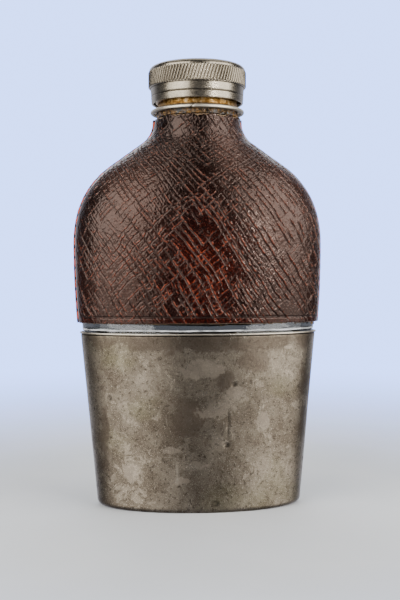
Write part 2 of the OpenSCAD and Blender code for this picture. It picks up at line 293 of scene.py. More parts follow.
class Shader:
    """A material's nodes, made in few words."""

    def __init__(self, name):
        self.material = bpy.data.materials.new(name)
        self.material.use_nodes = True
        self.tree = self.material.node_tree
        self.tree.nodes.clear()
        self.out = self.tree.nodes.new("ShaderNodeOutputMaterial")
        self.main = self.tree.nodes.new("ShaderNodeBsdfPrincipled")
        self.tree.links.new(self.main.outputs[0], self.out.inputs[0])
        coords = self.tree.nodes.new("ShaderNodeTexCoord")
        self.mm = self.node("ShaderNodeVectorMath", {0: coords.outputs["Object"], 3: 1 / MM},
                            operation="SCALE").outputs[0]

    def put(self, socket, value):
        if isinstance(value, bpy.types.NodeSocket):
            self.tree.links.new(value, socket)
        elif value is not None:
            socket.default_value = (*value, 1.0) if hasattr(value, "__len__") and len(value) == 3 \
                and socket.type == "RGBA" else value

    def node(self, kind, inputs=None, **settings):
        n = self.tree.nodes.new(kind)
        for key, value in settings.items():
            setattr(n, key, value)
        for key, value in (inputs or {}).items():
            self.put(n.inputs[key], value)
        return n

    def set(self, **sockets):
        for key, value in sockets.items():
            self.put(self.main.inputs[key.replace("_", " ")], value)

    def scaled(self, x, y, z):
        """Object position in millimetres, times a factor along each axis."""
        return self.node("ShaderNodeVectorMath", {0: self.mm, 1: (x, y, z)},
                         operation="MULTIPLY").outputs[0]

    def noise(self, scale, detail=3.0, rough=0.5, at=None, distortion=0.0):
        return self.node("ShaderNodeTexNoise", {
            "Vector": at or self.mm, "Scale": scale, "Detail": detail, "Roughness": rough,
            "Distortion": distortion}).outputs[0]

    def cells(self, scale):
        return self.node("ShaderNodeTexVoronoi", {"Vector": self.mm, "Scale": scale}).outputs["Distance"]

    def attribute(self, name):
        return self.node("ShaderNodeAttribute", attribute_name=name).outputs["Fac"]

    def math(self, operation, a, b=0.0, clamp=False):
        return self.node("ShaderNodeMath", {0: a, 1: b}, operation=operation, use_clamp=clamp).outputs[0]

    def range(self, value, a, b, c=0.0, d=1.0):
        """value from a..b put into c..d, held at both ends."""
        return self.node("ShaderNodeMapRange", {0: value, 1: a, 2: b, 3: c, 4: d}).outputs[0]

    def mix(self, factor, a, b):
        n = self.node("ShaderNodeMix", data_type="RGBA")
        for socket, value in ((n.inputs[0], factor), (n.inputs[6], a), (n.inputs[7], b)):
            self.put(socket, value)
        return n.outputs[2]

    def bump(self, height, strength, distance, under=None):
        """Relief from a height that counts distance millimetres."""
        n = self.node("ShaderNodeBump", {"Strength": strength, "Distance": distance * MM, "Height": height})
        if under is not None:
            self.tree.links.new(under, n.inputs["Normal"])
        return n.outputs[0]


def leather_material():
    s = Shader("cover leather")
    crease_shade, lip, red = s.attribute("crease_shade"), s.attribute("lip"), s.attribute("red")
    painted_sheen, cut = s.attribute("painted_sheen"), s.attribute("cut")
    blotch = s.noise(0.16, 4.0, 0.6)
    fine = s.noise(1.6, 4.0, 0.65)
    speck = s.noise(3.2, 2.0, 0.6)
    cell = s.mix(s.range(blotch, 0.35, 0.68), (0.0008, 0.0004, 0.0003), (0.0045, 0.0012, 0.0007))
    cell = s.mix(s.math("MULTIPLY", red, s.range(fine, 0.38, 0.62)), cell, (0.040, 0.0028, 0.0008))
    # Patches of painted sheen: the cells turn grey-brown where the side lights shine.
    cell = s.mix(painted_sheen, cell, s.mix(s.range(fine, 0.3, 0.7), (0.026, 0.012, 0.009), (0.085, 0.042, 0.031)))
    dust = s.mix(red, (0.10, 0.046, 0.032), (0.20, 0.022, 0.007))
    cell = s.mix(s.range(speck, 0.60, 0.68, 0.0, 0.4), cell, dust)
    # Lips are lighter: worn reddish leather, with pale pinkish spots painted on as highlight.
    ridge = s.mix(red, (0.18, 0.060, 0.036), (0.62, 0.070, 0.010))
    ridge = s.mix(s.range(fine, 0.50, 0.70, 0.0, 0.6), ridge, (0.50, 0.27, 0.20))
    color = s.mix(s.math("MULTIPLY", lip, s.range(fine, 0.30, 0.55, 0.2, 1.0)), cell, ridge)
    # Creases, pores and the hem's crease are painted near black: painted shade.
    color = s.mix(s.math("MULTIPLY", crease_shade, 0.95), color, (0.003, 0.002, 0.0018))
    color = s.mix(cut, color, (0.035, 0.012, 0.009))
    pebble = s.cells(1.9)
    rough = s.range(s.math("ADD", fine, s.math("MULTIPLY", pebble, 0.5)), 0.35, 1.0, 0.11, 0.21)
    rough = s.math("SUBTRACT", rough, s.math("MULTIPLY", lip, 0.04))
    rough = s.math("ADD", rough, s.math("MULTIPLY", crease_shade, 0.3), clamp=True)
    relief = s.bump(pebble, s.range(painted_sheen, 0.0, 0.8, 0.08, 0.6), 0.07)
    relief = s.bump(s.noise(4.0, 3.0, 0.6), s.range(painted_sheen, 0.0, 0.8, 0.08, 0.45), 0.035, relief)
    s.set(Base_Color=color, Roughness=rough, Normal=relief, Specular_IOR_Level=0.44,
          Specular_Tint=(1.0, 0.71, 0.60))
    return s.material


def hide_material():
    s = Shader("raw hide lining")
    fibre = s.noise(2.4, 5.0, 0.7)
    patch = s.noise(0.3, 3.0)
    color = s.mix(s.range(fibre, 0.3, 0.7), (0.20, 0.12, 0.06), (0.42, 0.28, 0.16))
    color = s.mix(s.range(patch, 0.45, 0.7), color, (0.13, 0.075, 0.035))
    s.set(Base_Color=color, Roughness=s.range(fibre, 0.2, 0.8, 0.75, 0.95), Sheen_Weight=0.25,
          Normal=s.bump(fibre, 0.7, 0.12))
    return s.material


def thread_material():
    s = Shader("waxed linen thread")
    fibre = s.noise(7.0, 3.0, 0.7)
    dirt = s.noise(0.35, 3.0)
    color = s.mix(s.range(fibre, 0.3, 0.7), (0.50, 0.045, 0.014), (0.85, 0.13, 0.045))
    color = s.mix(s.range(dirt, 0.52, 0.68, 0.0, 0.6), color, (0.10, 0.02, 0.012))
    s.set(Base_Color=color, Roughness=s.range(fibre, 0.2, 0.8, 0.55, 0.8), Sheen_Weight=0.15,
          Normal=s.bump(fibre, 0.5, 0.05))
    return s.material


def glass_material():
    s = Shader("bottle glass")
    ripple = s.noise(0.12, 2.0)
    smear = s.noise(0.35, 4.0, 0.6)
    wear_and_highlight = s.attribute("wear_and_highlight")
    clear = s.range(smear, 0.45, 0.75, 0.015, 0.12)
    # A white, less clear band on the ledge: rubbed glass and a painted highlight.
    s.set(Base_Color=s.mix(wear_and_highlight, (0.74, 0.75, 0.735), (0.92, 0.93, 0.96)), IOR=1.5,
          Transmission_Weight=s.math("SUBTRACT", 1.0, wear_and_highlight), Normal=s.bump(ripple, 0.25, 0.6),
          Roughness=s.math("ADD", clear, s.math("MULTIPLY", wear_and_highlight, 0.3)))
    return s.material


def cup_material():
    s = Shader("tarnished plate")
    broad = s.noise(0.05, 4.0, 0.62, distortion=0.7)
    patch = s.noise(0.15, 6.0, 0.68, distortion=0.5)
    grain = s.noise(1.0, 6.0, 0.72)
    specks = s.noise(4.2, 4.0, 0.7)
    olive = s.noise(0.04, 3.0, 0.5, at=s.scaled(1, 1, 1.6))
    color = s.mix(s.range(broad, 0.40, 0.62), (0.132, 0.106, 0.077), (0.255, 0.215, 0.163))
    color = s.mix(s.range(patch, 0.54, 0.60, 0.0, 0.45), color, (0.080, 0.060, 0.042))
    color = s.mix(s.range(patch, 0.44, 0.40, 0.0, 0.4), color, (0.40, 0.34, 0.26))
    color = s.mix(s.range(olive, 0.55, 0.7, 0.0, 0.45), color, (0.12, 0.112, 0.050))
    color = s.mix(s.range(grain, 0.52, 0.64, 0.0, 0.85), color, (0.045, 0.034, 0.024))
    color = s.mix(s.range(specks, 0.58, 0.66, 0.0, 0.7), color, (0.72, 0.63, 0.50))
    ragged = s.range(patch, 0.35, 0.65, -0.35, 0.35)
    dull_and_shade = s.math("ADD", s.attribute("dull_and_shade"), ragged)
    # Dull tarnish patches, and painted shade down the cup's left and right edges.
    color = s.mix(s.range(dull_and_shade, 0.38, 0.60, 0.0, 0.62), color, (0.095, 0.072, 0.053))
    flake = s.math("ADD", s.attribute("flake"), ragged)
    color = s.mix(s.range(flake, 0.48, 0.58, 0.0, 0.36), color, (0.46, 0.39, 0.305))
    # Painted shade in the dents' rims, the groove under the lip and the wire's underside and inner edge.
    color = s.mix(s.attribute("pit"), color, (0.03, 0.024, 0.018))
    # Painted bright where rubbed: wear and a painted highlight.
    color = s.mix(s.attribute("wear_and_highlight"), color, (0.62, 0.56, 0.46))
    lines = s.noise(1.0, 3.0, 0.7, at=s.scaled(0.5, 0.5, 7.0))
    rough = s.range(s.math("ADD", patch, s.math("MULTIPLY", grain, 0.5)), 0.6, 0.95, 0.27, 0.42)
    relief = s.bump(lines, 0.2, 0.05)
    relief = s.bump(grain, 0.6, 0.11, relief)
    relief = s.bump(s.noise(3.0, 3.0, 0.6), 0.55, 0.05, relief)
    s.set(Base_Color=color, Metallic=0.92, Roughness=rough, Normal=relief)
    return s.material


def nickel_material(name, tarnish=0.0, pale=0.0, rough=(0.20, 0.38)):
    """Worn nickel silver: tarnish is how golden its grooves are, and pale how clean the rest is. Without
    tarnish the marked grooves are painted dark: painted shade.
    """
    s = Shader(name)
    broad = s.noise(0.22, 3.0, 0.6)
    grain = s.noise(2.2, 4.0, 0.7)
    lines = s.noise(1.0, 4.0, 0.7, at=s.scaled(0.35, 0.35, 9.0))
    color = s.mix(s.range(broad, 0.35, 0.7), (0.25, 0.215, 0.165), (0.36, 0.315, 0.245))
    color = s.mix(s.range(grain, 0.55, 0.75, 0.0, 0.5), color, (0.13, 0.105, 0.075))
    color = s.mix(pale, color, (0.74, 0.67, 0.54))
    valley = s.attribute("valley")
    if tarnish:
        gold = s.noise(0.6, 4.0, 0.7)
        stain = s.mix(s.range(gold, 0.42, 0.60), (0.42, 0.24, 0.065), (0.12, 0.055, 0.012))
        color = s.mix(s.math("MULTIPLY", valley, s.range(gold, 0.30, 0.50, 0.45, tarnish)), color, stain)
    else:
        # Painted shade: the marked grooves and undersides are painted dark.
        color = s.mix(s.math("MULTIPLY", valley, s.range(broad, 0.3, 0.7, 0.75, 1.0)), color,
                      (0.035, 0.026, 0.015))
    rough = s.range(s.math("ADD", lines, s.math("MULTIPLY", grain, 0.6)), 0.5, 1.1, *rough)
    relief = s.bump(lines, 0.22, 0.05)
    relief = s.bump(grain, 0.15, 0.04, relief)
    s.set(Base_Color=color, Metallic=1.0, Roughness=rough, Normal=relief)
    return s.material


def cement_material():
    s = Shader("old resin cement")
    lump = s.noise(0.9, 4.0, 0.65)
    color = s.mix(s.range(lump, 0.44, 0.66), (0.012, 0.006, 0.003), (0.26, 0.12, 0.018))
    color = s.mix(s.range(s.noise(2.5, 3.0), 0.60, 0.7, 0.0, 0.7), color, (0.55, 0.36, 0.11))
    s.set(Base_Color=color, Roughness=s.range(lump, 0.3, 0.7, 0.3, 0.6), Normal=s.bump(lump, 0.6, 0.25),
          Coat_Weight=0.3, Coat_Roughness=0.25)
    return s.material


def cork_material():
    s = Shader("cork")
    grain = s.noise(0.9, 5.0, 0.7)
    pores = s.noise(1.5, 3.0, 0.6, at=s.scaled(1, 0.45, 1.4))
    color = s.mix(s.range(grain, 0.3, 0.7), (0.36, 0.21, 0.10), (0.60, 0.42, 0.25))
    color = s.mix(s.range(pores, 0.60, 0.68, 0.0, 0.9), color, (0.10, 0.05, 0.025))
    s.set(Base_Color=color, Roughness=0.85, Normal=s.bump(pores, 0.6, 0.2))
    return s.material


BACKDROP = (0.27, 0.42, 1.0)
BACKDROP_GLOW = 5.0


def floor_material():
    """Pale and lit near the flask, fading into the backdrop's own tone further away."""
    s = Shader("pale floor")
    color = s.mix(s.range(s.noise(0.02, 3.0), 0.3, 0.7), (0.66, 0.68, 0.70), (0.72, 0.735, 0.75))
    s.set(Base_Color=color, Roughness=0.85, Normal=s.bump(s.noise(1.2, 4.0), 0.12, 0.1))
    away = s.node("ShaderNodeVectorMath", {0: s.mm}, operation="LENGTH").outputs["Value"]
    far = s.node("ShaderNodeEmission", {"Color": BACKDROP, "Strength": BACKDROP_GLOW})
    seen = s.node("ShaderNodeMixShader", {0: s.node("ShaderNodeMapRange", {0: away, 1: 60.0, 2: 420.0},
                                                    interpolation_type="SMOOTHSTEP").outputs[0]})
    for a, b in ((s.main.outputs[0], seen.inputs[1]), (far.outputs[0], seen.inputs[2]),
                 (seen.outputs[0], s.out.inputs[0])):
        s.tree.links.new(a, b)
    return s.material


# ---- The bottle's outline ----

leather_low, leather_high = node_box("leather_front")
_, glass_high = node_box("glass_bottle")

OVAL = 0.477
GLASS_A = 36.05
WIDEST_Z = 78.5
BODY_R = 280.0
# The shoulder is two arcs and a straight flank, and a third arc leads into the neck.
SHOULDER_1_R, SHOULDER_1_ANGLE = 34.75, 12.0
SHOULDER_2_R, FLANK_ANGLE, FLANK_L, ROOT_R = 24.25, 54.5, 12.05, 9.25
COVER_BOTTOM = leather_low[2]
COVER_TOP = leather_high[2]
LEDGE_Z, LEDGE_R = 52.3, 0.45
NECK_R, BORE_R, GLASS_TOP = 10.3, 7.5, glass_high[2]
# The layers' inner and outer distance from the glass. The lining starts a little nearer than in the
# CAD part, where the faceted skins need more room.
LINING = (0.02, 0.3)
LEATHER = (0.32, 1.25)
DEPTH_START_Z = 84.0


def direction(degrees):
    return np.array([math.cos(math.radians(degrees)), math.sin(math.radians(degrees))])


C1 = np.array([GLASS_A - SHOULDER_1_R, WIDEST_Z])
C2 = C1 + (SHOULDER_1_R - SHOULDER_2_R) * direction(SHOULDER_1_ANGLE)
FLANK_START = C2 + SHOULDER_2_R * direction(FLANK_ANGLE)
FLANK_END = FLANK_START + FLANK_L * direction(FLANK_ANGLE + 90)
C3 = FLANK_END + ROOT_R * direction(FLANK_ANGLE)
NECK_FOOT_R, NECK_FOOT_Z = C3[0] - ROOT_R, C3[1]


def body_outline(z0, fine=1.0):
    """[half width, height] of the glass body from height z0 to the top of the cover."""
    n = lambda length: max(2, int(length * fine))
    return join(
        arc(GLASS_A - BODY_R, WIDEST_Z, BODY_R, math.degrees(math.asin((z0 - WIDEST_Z) / BODY_R)), 0, n(24)),
        arc(*C1, SHOULDER_1_R, 0, SHOULDER_1_ANGLE, n(7)),
        arc(*C2, SHOULDER_2_R, SHOULDER_1_ANGLE, FLANK_ANGLE, n(18)),
        line(FLANK_START, FLANK_END, n(10)),
        arc(*C3, ROOT_R, 180 + FLANK_ANGLE, 180, n(9)),
        [[NECK_FOOT_R, COVER_TOP]])


def half_depth(a, z):
    full = GLASS_A * OVAL
    u = ease((z - DEPTH_START_Z) / (NECK_FOOT_Z - DEPTH_START_Z))
    return np.where(z < WIDEST_Z, a * OVAL, full + (NECK_FOOT_R - full) * u)


class Skin:
    """The glass's surface above the ledge, and places at a distance over it."""

    def __init__(self):
        o = body_outline(LEDGE_Z + 2 * LEDGE_R, 30)
        s = np.concatenate([[0], np.cumsum(np.linalg.norm(np.diff(o, axis=0), axis=1))])
        even = np.linspace(0, s[-1], 4000)
        a, z = np.interp(even, s, o[:, 0]), np.interp(even, s, o[:, 1])
        kernel = np.hanning(41) / np.hanning(41).sum()
        soft = lambda v: np.convolve(np.pad(v, 20, mode="reflect", reflect_type="odd"), kernel, "valid")
        a, z = soft(a), soft(z)
        b = soft(half_depth(a, z))
        start = np.interp(COVER_BOTTOM, z, even)
        self.s, self.a, self.b, self.z = even - start, a, b, z
        self.da, self.db, self.dz = (np.gradient(v, even) for v in (a, b, z))
        self.length = self.s[-1]

    def at(self, s):
        return tuple(np.interp(s, self.s, v) for v in (self.a, self.b, self.z, self.da, self.db, self.dz))

    def place(self, s, t, d):
        a, b, z, da, db, dz = self.at(s)
        c, n = np.cos(t), np.sin(t)
        normal = np.stack([b * dz * c, a * dz * n, -(a * db * n * n + b * da * c * c)], -1)
        normal /= np.linalg.norm(normal, axis=-1, keepdims=True)
        return np.stack([a * c, b * n, z], -1) + np.asarray(d)[..., None] * normal


skin = Skin()


def even_angles(fractions):
    """Angles from one seam to the other that space points evenly round the widest part."""
    t = np.linspace(0, math.pi, 2001)
    a, b = GLASS_A + 1.0, GLASS_A * OVAL + 1.0
    speed = np.sqrt((a * np.sin(t)) ** 2 + (b * np.cos(t)) ** 2)
    run = np.concatenate([[0], np.cumsum((speed[1:] + speed[:-1]) / 2)])
    return np.interp(fractions, run / run[-1], t)


def spaced(length, pitch, edge=(0.0, 0.08, 0.18, 0.32)):
    """Distances from 0 to length, with closer ones near both ends, and 4 k + 1 of them."""
    inner = length - 2 * edge[-1]
    count = int(round(inner / pitch / 4)) * 4 + 2
    middle = np.linspace(edge[-1], length - edge[-1], count + 1)
    return np.concatenate([edge[:-1], middle, [length - e for e in edge[-2::-1]]])


# ---- Leather ----

# The creases' directions in degrees, and their spacings in millimetres.
LONG_LEAN, CROSS_LEAN = 54, -42
LONG_GAP, CROSS_GAP, WRINKLE_GAP = 1.8, 1.6, 0.85
# About the length from seam to seam, and half the gap that the stitches lie in.
HALF_GIRTH, SEAM_HALF = 87.0, 0.35
# The back takes its grain from elsewhere in the same pattern.
BACK_OFFSET = 200


def creases(across, spacing, seed):
    """Distance in millimetres to the nearest of a set of long lines, with the line's number and the
    side of it."""
    c = across / spacing
    base = np.floor(c)
    best, which, side = np.full(c.shape, 1e9), np.zeros(c.shape), np.zeros(c.shape)
    for k in (-1, 0, 1):
        i = base + k
        gap = c - (i + 0.5 + 0.45 * (hash01(i, 0, 0, seed) - 0.5))
        near = np.abs(gap) < best
        best, which, side = (np.where(near, np.abs(gap), best), np.where(near, i, which),
                             np.where(near, np.sign(gap), side))
    return best * spacing, which, side


def grain(p, q, x, z, side):
    """Relief under the leather's surface in millimetres, with the marks that its colour follows: painted
    shade in the creases and pores, and lighter lips.
    """
    wx = 1.3 * noise(p / 17, q / 17, seed=11) + 0.34 * noise(p / 4.2, q / 4.2, seed=12)
    wy = 1.3 * noise(p / 17, q / 17, seed=13) + 0.34 * noise(p / 4.2, q / 4.2, seed=14)
    P, Q = p + wx, q + wy
    small = 0.13 * noise(p / 0.7, q / 0.7, seed=15)
    lean, other = math.radians(LONG_LEAN), math.radians(CROSS_LEAN)
    across = P * math.sin(lean) + Q * math.cos(lean) + small
    along = P * math.cos(lean) - Q * math.sin(lean)
    # Long creases that run down to the right.
    d1, w1, s1 = creases(across, LONG_GAP, 21)
    on1 = step(-0.55, 0.30, noise(along / 7, w1 * 7.3, seed=22) + 0.6 * noise(along / 2.2, w1 * 3.1, seed=23))
    # Creases that cross them the other way.
    cross = P * math.sin(other) + Q * math.cos(other) - small
    d3, w3, s3 = creases(cross + 0.22 * noise(across / 2.3, w1 * 2.7, seed=33), CROSS_GAP, 31)
    on3 = (1 - 0.5 * step(8, 16, x) * (1 - step(24, 31, x)) * (side < 0)) * step(
        -0.35, 0.25, noise(across / 4.0, w3 * 5.7, seed=32) + 0.3 * noise(across / 1.4, w3 * 2.2, seed=34))
    # Fine wrinkles along the long creases, and pebbles.
    d2, w2, s2 = creases(across + 0.2 * noise(along / 2.0, across, seed=26), WRINKLE_GAP, 25)
    on2 = step(0.05, 0.5, noise(along / 3.2, w2 * 4.1, seed=24))
    _, e4, id4 = cells(P / 0.95, Q / 0.95, 41, 0.95)
    d4 = e4 * 0.95

    # Where the hide was pressed smooth: on the shoulders and up the neck.
    if side < 0:
        smooth = patches(x, z, (0.9, 22, 95, 8, 8), (0.7, 8.5, 107, 5, 8), (0.45, -24, 90, 7, 9))
    else:
        smooth = patches(x, z, (0.55, -10, 88, 20, 14), (0.4, 16, 70, 9, 9))
    smooth = np.clip(smooth, 0, 1)
    vee = lambda d, w: np.clip(1 - d / w, 0, 1) ** 1.1
    # The lip stands on one side of a crease, higher than on the other.
    lipped = lambda d, s, at, w: np.exp(-((d - at) / w) ** 2) * (0.56 + 0.44 * s)
    c1, c2, c3 = vee(d1, 0.25) * on1, vee(d2, 0.18) * on2, vee(d3, 0.2) * on3
    c4 = vee(d4, 0.18) * (0.4 + 0.6 * (id4 > 0.5))
    crease_shade = np.maximum.reduce([c1, 0.6 * c2, 0.9 * c3, 0.5 * c4])
    lip = np.maximum.reduce([lipped(d1, s1, 0.30, 0.13) * on1, 0.6 * lipped(d2, s2, 0.22, 0.10) * on2,
                             0.9 * lipped(d3, s3, 0.26, 0.115) * on3])
    # A lip is broken up along its length, and into dots up the neck.
    dots = 0.75 * step(96, 104, z)
    broken = 0.6 - 0.45 * dots + (0.85 + 0.7 * dots) * noise(P / 0.7, Q / 0.7, seed=51)
    lip = lip * (1 - np.maximum(c1, c3)) * np.clip(broken, 0, 1)
    swell = 0.04 * np.clip(np.minimum(d1, d3) / 0.8, 0, 1) ** 0.8 + 0.03 * fbm(P / 0.8, Q / 0.8, seed=52)
    # Creases are deepest at the front's right, and their lips lie flat in the middle.
    bold = 1.25 + 0.5 * step(2, 12, x) * (side < 0)
    flat = 1 - 0.55 * bump(x, z, 0, 70, 13, 24) * (side < 0)
    sink = (0.22 * bold * c1 + 0.15 * c3 * (1 - c1) + 0.08 * c2 + 0.05 * c4
            - 0.16 * bold * flat * lip - swell) * (1 - 0.6 * smooth)
    # Scattered pores, clearest where the grain is smooth.
    f5, _, id5 = cells(p / 1.5, q / 1.5, 61, 0.9)
    pore = np.clip(1 - f5 * 1.5 / 0.36, 0, 1) * (id5 > 0.4) * np.clip(smooth * 1.7, 0, 1)
    sink = sink + 0.20 * pore + 0.19
    # Creases and pores are also painted dark in the colour: painted shade.
    crease_shade = np.maximum(crease_shade * (1 - 0.5 * smooth), 0.75 * pore)
    return sink, crease_shade, np.clip(2.0 * lip - 0.5, 0, 1)


def sheet_faces(m, n):
    """Faces between m rows of n points."""
    i, j = np.meshgrid(np.arange(m - 1), np.arange(n - 1), indexing="ij")
    at = i * n + j
    return np.stack([at, at + 1, at + n + 1, at + n], -1).reshape(-1, 4)


def panel(name, side, d_in, d_out, pitch, material, leather=True, ragged=(0.15, 0.35), overhang=0.0):
    """One closed half of the cover, from seam to seam."""
    cols = spaced(HALF_GIRTH, pitch) / HALF_GIRTH
    rows = spaced(skin.length + overhang, pitch) / (skin.length + overhang)
    v, f = np.meshgrid(rows, cols, indexing="ij")
    # The lower edge wanders a little and the top edge is cut roughly.
    wave = f * HALF_GIRTH
    low = (-overhang - 0.35 * np.abs(2 * f - 1) ** 2
           + ragged[0] * (0.5 + 0.5 * fbm(wave / 6, side * 3.0, seed=71)))
    torn = np.clip(0.5 + 0.9 * fbm(wave / 3.5, side * 5.0, seed=72, octaves=4), 0, 1.4)
    high = skin.length - ragged[1] * torn
    s = low + v * (high - low)
    b = skin.at(s)[1]
    edge = np.arcsin(np.clip(SEAM_HALF / (b + d_out), 0, 1))
    u = edge + (math.pi - 2 * edge) * even_angles(f) / math.pi
    t = u + (math.pi if side < 0 else 0)
    flat = skin.place(s, t, np.full(s.shape, d_out))
    stepped = np.linalg.norm(np.diff(flat, axis=1), axis=2)
    run = np.concatenate([np.zeros((len(rows), 1)), np.cumsum(stepped, 1)], 1)
    total = run[:, -1:]
    from_seam = np.minimum(run, total - run)
    from_low, from_high = s - low, high - s
    p = run - total / 2
    if side > 0:
        p = -p + BACK_OFFSET
    round_r = min(0.3, 0.45 * (d_out - d_in))
    e = np.minimum.reduce([from_seam, from_low, from_high])
    drop = round_r - np.sqrt(np.clip(round_r ** 2 - np.clip(round_r - e, 0, round_r) ** 2, 0, None))
    x, z = flat[..., 0], flat[..., 2]
    if leather:
        sink, crease_shade, lip = grain(p, s, x, z, side)
        # Beside the seam the leather is pressed flat, and at the hem a creased line runs above the edge.
        press = step(2.2, 6.5, from_seam + 1.2 * fbm(s / 5, side, seed=81))
        hem_at = 1.75 + 0.12 * noise(wave / 5, 0, seed=82)
        hem = np.exp(-((from_low - hem_at) / 0.26) ** 2)
        below = 1 - step(hem_at - 0.5, hem_at, from_low)
        tone = press * (1 - 0.55 * below)
        top_press = step(0.3, 1.3, from_high)
        tone = tone * (0.35 + 0.65 * top_press)
        sink = 0.07 + (sink - 0.07) * tone + 0.26 * hem * press
        sink = sink + 0.05 * fbm(p / 1.1, s / 1.1, seed=83) * (1 - tone)
        # At the seam the back's edge stands up behind the thread, and the front's is pressed down.
        reach = 1.5 if side < 0 else 1.2
        sink = sink - side * 0.42 * np.exp(-(from_seam / reach) ** 2)
        # The hem's crease is painted dark as well: painted shade.
        crease_shade = np.maximum(crease_shade * tone, 0.85 * hem * press)
        lip = lip * tone
        red = bump(x, z, 3, 70, 19, 17) * (0.75 + 0.5 * fbm(p / 5, s / 5, seed=84))
        red = red + 0.25 * bump(x, z, -30, 66, 12, 16) + 0.3 * below
        # Patches of painted sheen on the shoulders, up the neck and beside the seams; the back gets painted
        # sheen at random.
        painted_sheen = patches(x, z, (0.95, -21, 92, 8, 15), (1.0, 25, 91, 10, 14), (0.9, 9, 107, 5, 9),
                       (0.5, 30, 68, 8, 16), (0.55, -26, 66, 9, 14))
        painted_sheen = painted_sheen * (0.8 + 0.4 * fbm(p / 4, s / 4, seed=85)) + 0.15 * (1 - press)
        if side > 0:
            painted_sheen = 0.45 + 0.4 * fbm(p / 14, s / 14, seed=86)
            red = 0.3 + 0.4 * fbm(p / 12, s / 12, seed=87)
        cut = np.clip(1 - e / 0.12, 0, 1)
        attributes = {"crease_shade": crease_shade, "lip": lip, "red": np.clip(red, 0, 1),
                      "painted_sheen": np.clip(painted_sheen, 0, 1), "cut": cut}
    else:
        sink = 0.05 * (0.5 + 0.5 * fbm(p / 0.9, s / 0.9, seed=91))
        attributes = {}
    outer = skin.place(s, t, d_out - np.clip(sink, -0.36, 0.7) - drop)
    m, n = s.shape
    # The inside is smooth, so leather has one row of points there for every four outside.
    k = 4 if leather else 1
    inner = skin.place(s, t, np.full(s.shape, d_in))[::k, ::k]
    mi, ni = inner.shape[:2]
    points = np.vstack([outer.reshape(-1, 3), inner.reshape(-1, 3)])
    base = m * n
    face = sheet_faces(m, n)
    back = sheet_faces(mi, ni)[:, [0, 3, 2, 1]] + base

    def strip(out_index, in_index):
        """Faces between k outer edges and one inner edge, with the outer points taken backwards."""
        return np.array([[*out_index[g * k:(g + 1) * k + 1][::-1], in_index[g], in_index[g + 1]]
                         for g in range(len(in_index) - 1)])

    jo, ji = np.arange(n), np.arange(ni)
    io, ii = np.arange(m), np.arange(mi)
    rims = [strip(jo, base + ji),
            strip(((m - 1) * n + jo)[::-1], (base + (mi - 1) * ni + ji)[::-1]),
            strip((io * n)[::-1], (base + ii * ni)[::-1]),
            strip(io * n + n - 1, base + ii * ni + ni - 1)]
    tail = np.zeros(len(points) - base)
    attributes = {key: np.concatenate([value.ravel(), tail + (1 if key == "cut" else 0)])
                  for key, value in attributes.items()}
    return make(name, points, [face, back, *rims], material, flat=(2, 3, 4, 5), attributes=attributes)


leather = leather_material()
hide = hide_material()
fine_pitch = 0.18
for side, word, pitch, torn in ((-1, "front", fine_pitch, 0.8), (1, "back", fine_pitch * 1.5, 0.7)):
    cover = panel(f"cover_{word}", side, *LEATHER, pitch, leather, ragged=(0.15, torn))
    attach(cover, "flask", f"leather_{word}")
for side, word in ((-1, "front"), (1, "back")):
    lining = panel(f"hide_lining_{word}", side, *LINING, 0.8, hide, leather=False, ragged=(0.3, 0.3),
                   overhang=0.25)
    attach(lining, "flask", f"lining_{word}")


# ---- Stitches ----

STITCH_PITCH, STITCH_L, STITCH_R, STITCH_MARGIN, STITCH_D = 3.175, 2.5, 0.31, 2.0, 1.10


def seam(name, side):
    """Stitches of twisted thread down one side, all in one piece."""
    path_s = np.linspace(0, skin.length, 1500)
    path = skin.place(path_s, np.zeros(1500), np.full(1500, STITCH_D))[:, [0, 2]]
    run = np.concatenate([[0], np.cumsum(np.linalg.norm(np.diff(path, axis=0), axis=1))])
    count = int((run[-1] - 2 * STITCH_MARGIN) // STITCH_PITCH) + 1
    ang = angles(14)
    solids = []
    for c in range(count):
        mid = STITCH_MARGIN + c * STITCH_PITCH
        jog = hash01(c, 0, 0, 101 if side < 0 else 102) - 0.5
        rings = []
        for u in np.concatenate([[0.02, 0.09, 0.2], np.linspace(0.36, 1.64, 12), [1.8, 1.91, 1.98]]) - 1:
            at = mid + u * STITCH_L / 2
            px, pz = np.interp(at, run, path[:, 0]), np.interp(at, run, path[:, 1])
            qx, qz = np.interp(at + 0.1, run, path[:, 0]), np.interp(at + 0.1, run, path[:, 1])
            tangent = np.array([qx - px, qz - pz]) / math.hypot(qx - px, qz - pz)
            out = np.array([tangent[1], -tangent[0]])
            taper = math.sqrt(max(0.02, 1 - abs(u) ** 3.2))
            # Three strands laid up together.
            r = STITCH_R * taper * (0.88 + 0.12 * np.cos(3 * (ang - u * 5.2 + jog)))
            dive = -0.10 * abs(u) ** 3
            o = r * np.cos(ang) + dive
            y = r * np.sin(ang) + 0.06 * jog
            rings.append(np.stack([px + out[0] * o, y, pz + out[1] * o], -1))
        pts, faces = turned(np.array(rings), False)
        if side < 0:
            pts = pts * [-1, 1, 1]
            faces = [g[:, ::-1] for g in faces]
        solids.append((pts, faces))
    return make(name, *gather(solids), thread)


thread = thread_material()
for side, word in ((-1, "left"), (1, "right")):
    attach(seam(f"seam_thread_{word}", side), "flask", f"seam_stitches_{word}")


# ---- Glass ----

CUP_A, CUP_LEAN, CUP_T, CUP_GAP = 30.5, math.tan(math.radians(5.45)), 0.6, 0.3
GLASS_T, GLASS_BOTTOM, GLASS_FLOOR = 3.0, 1.7, 5.0


def cup_outside(z):
    return CUP_A + CUP_LEAN * z


def foot_depth(a, z):
    return cup_outside(z) * OVAL - (cup_outside(z) - a)


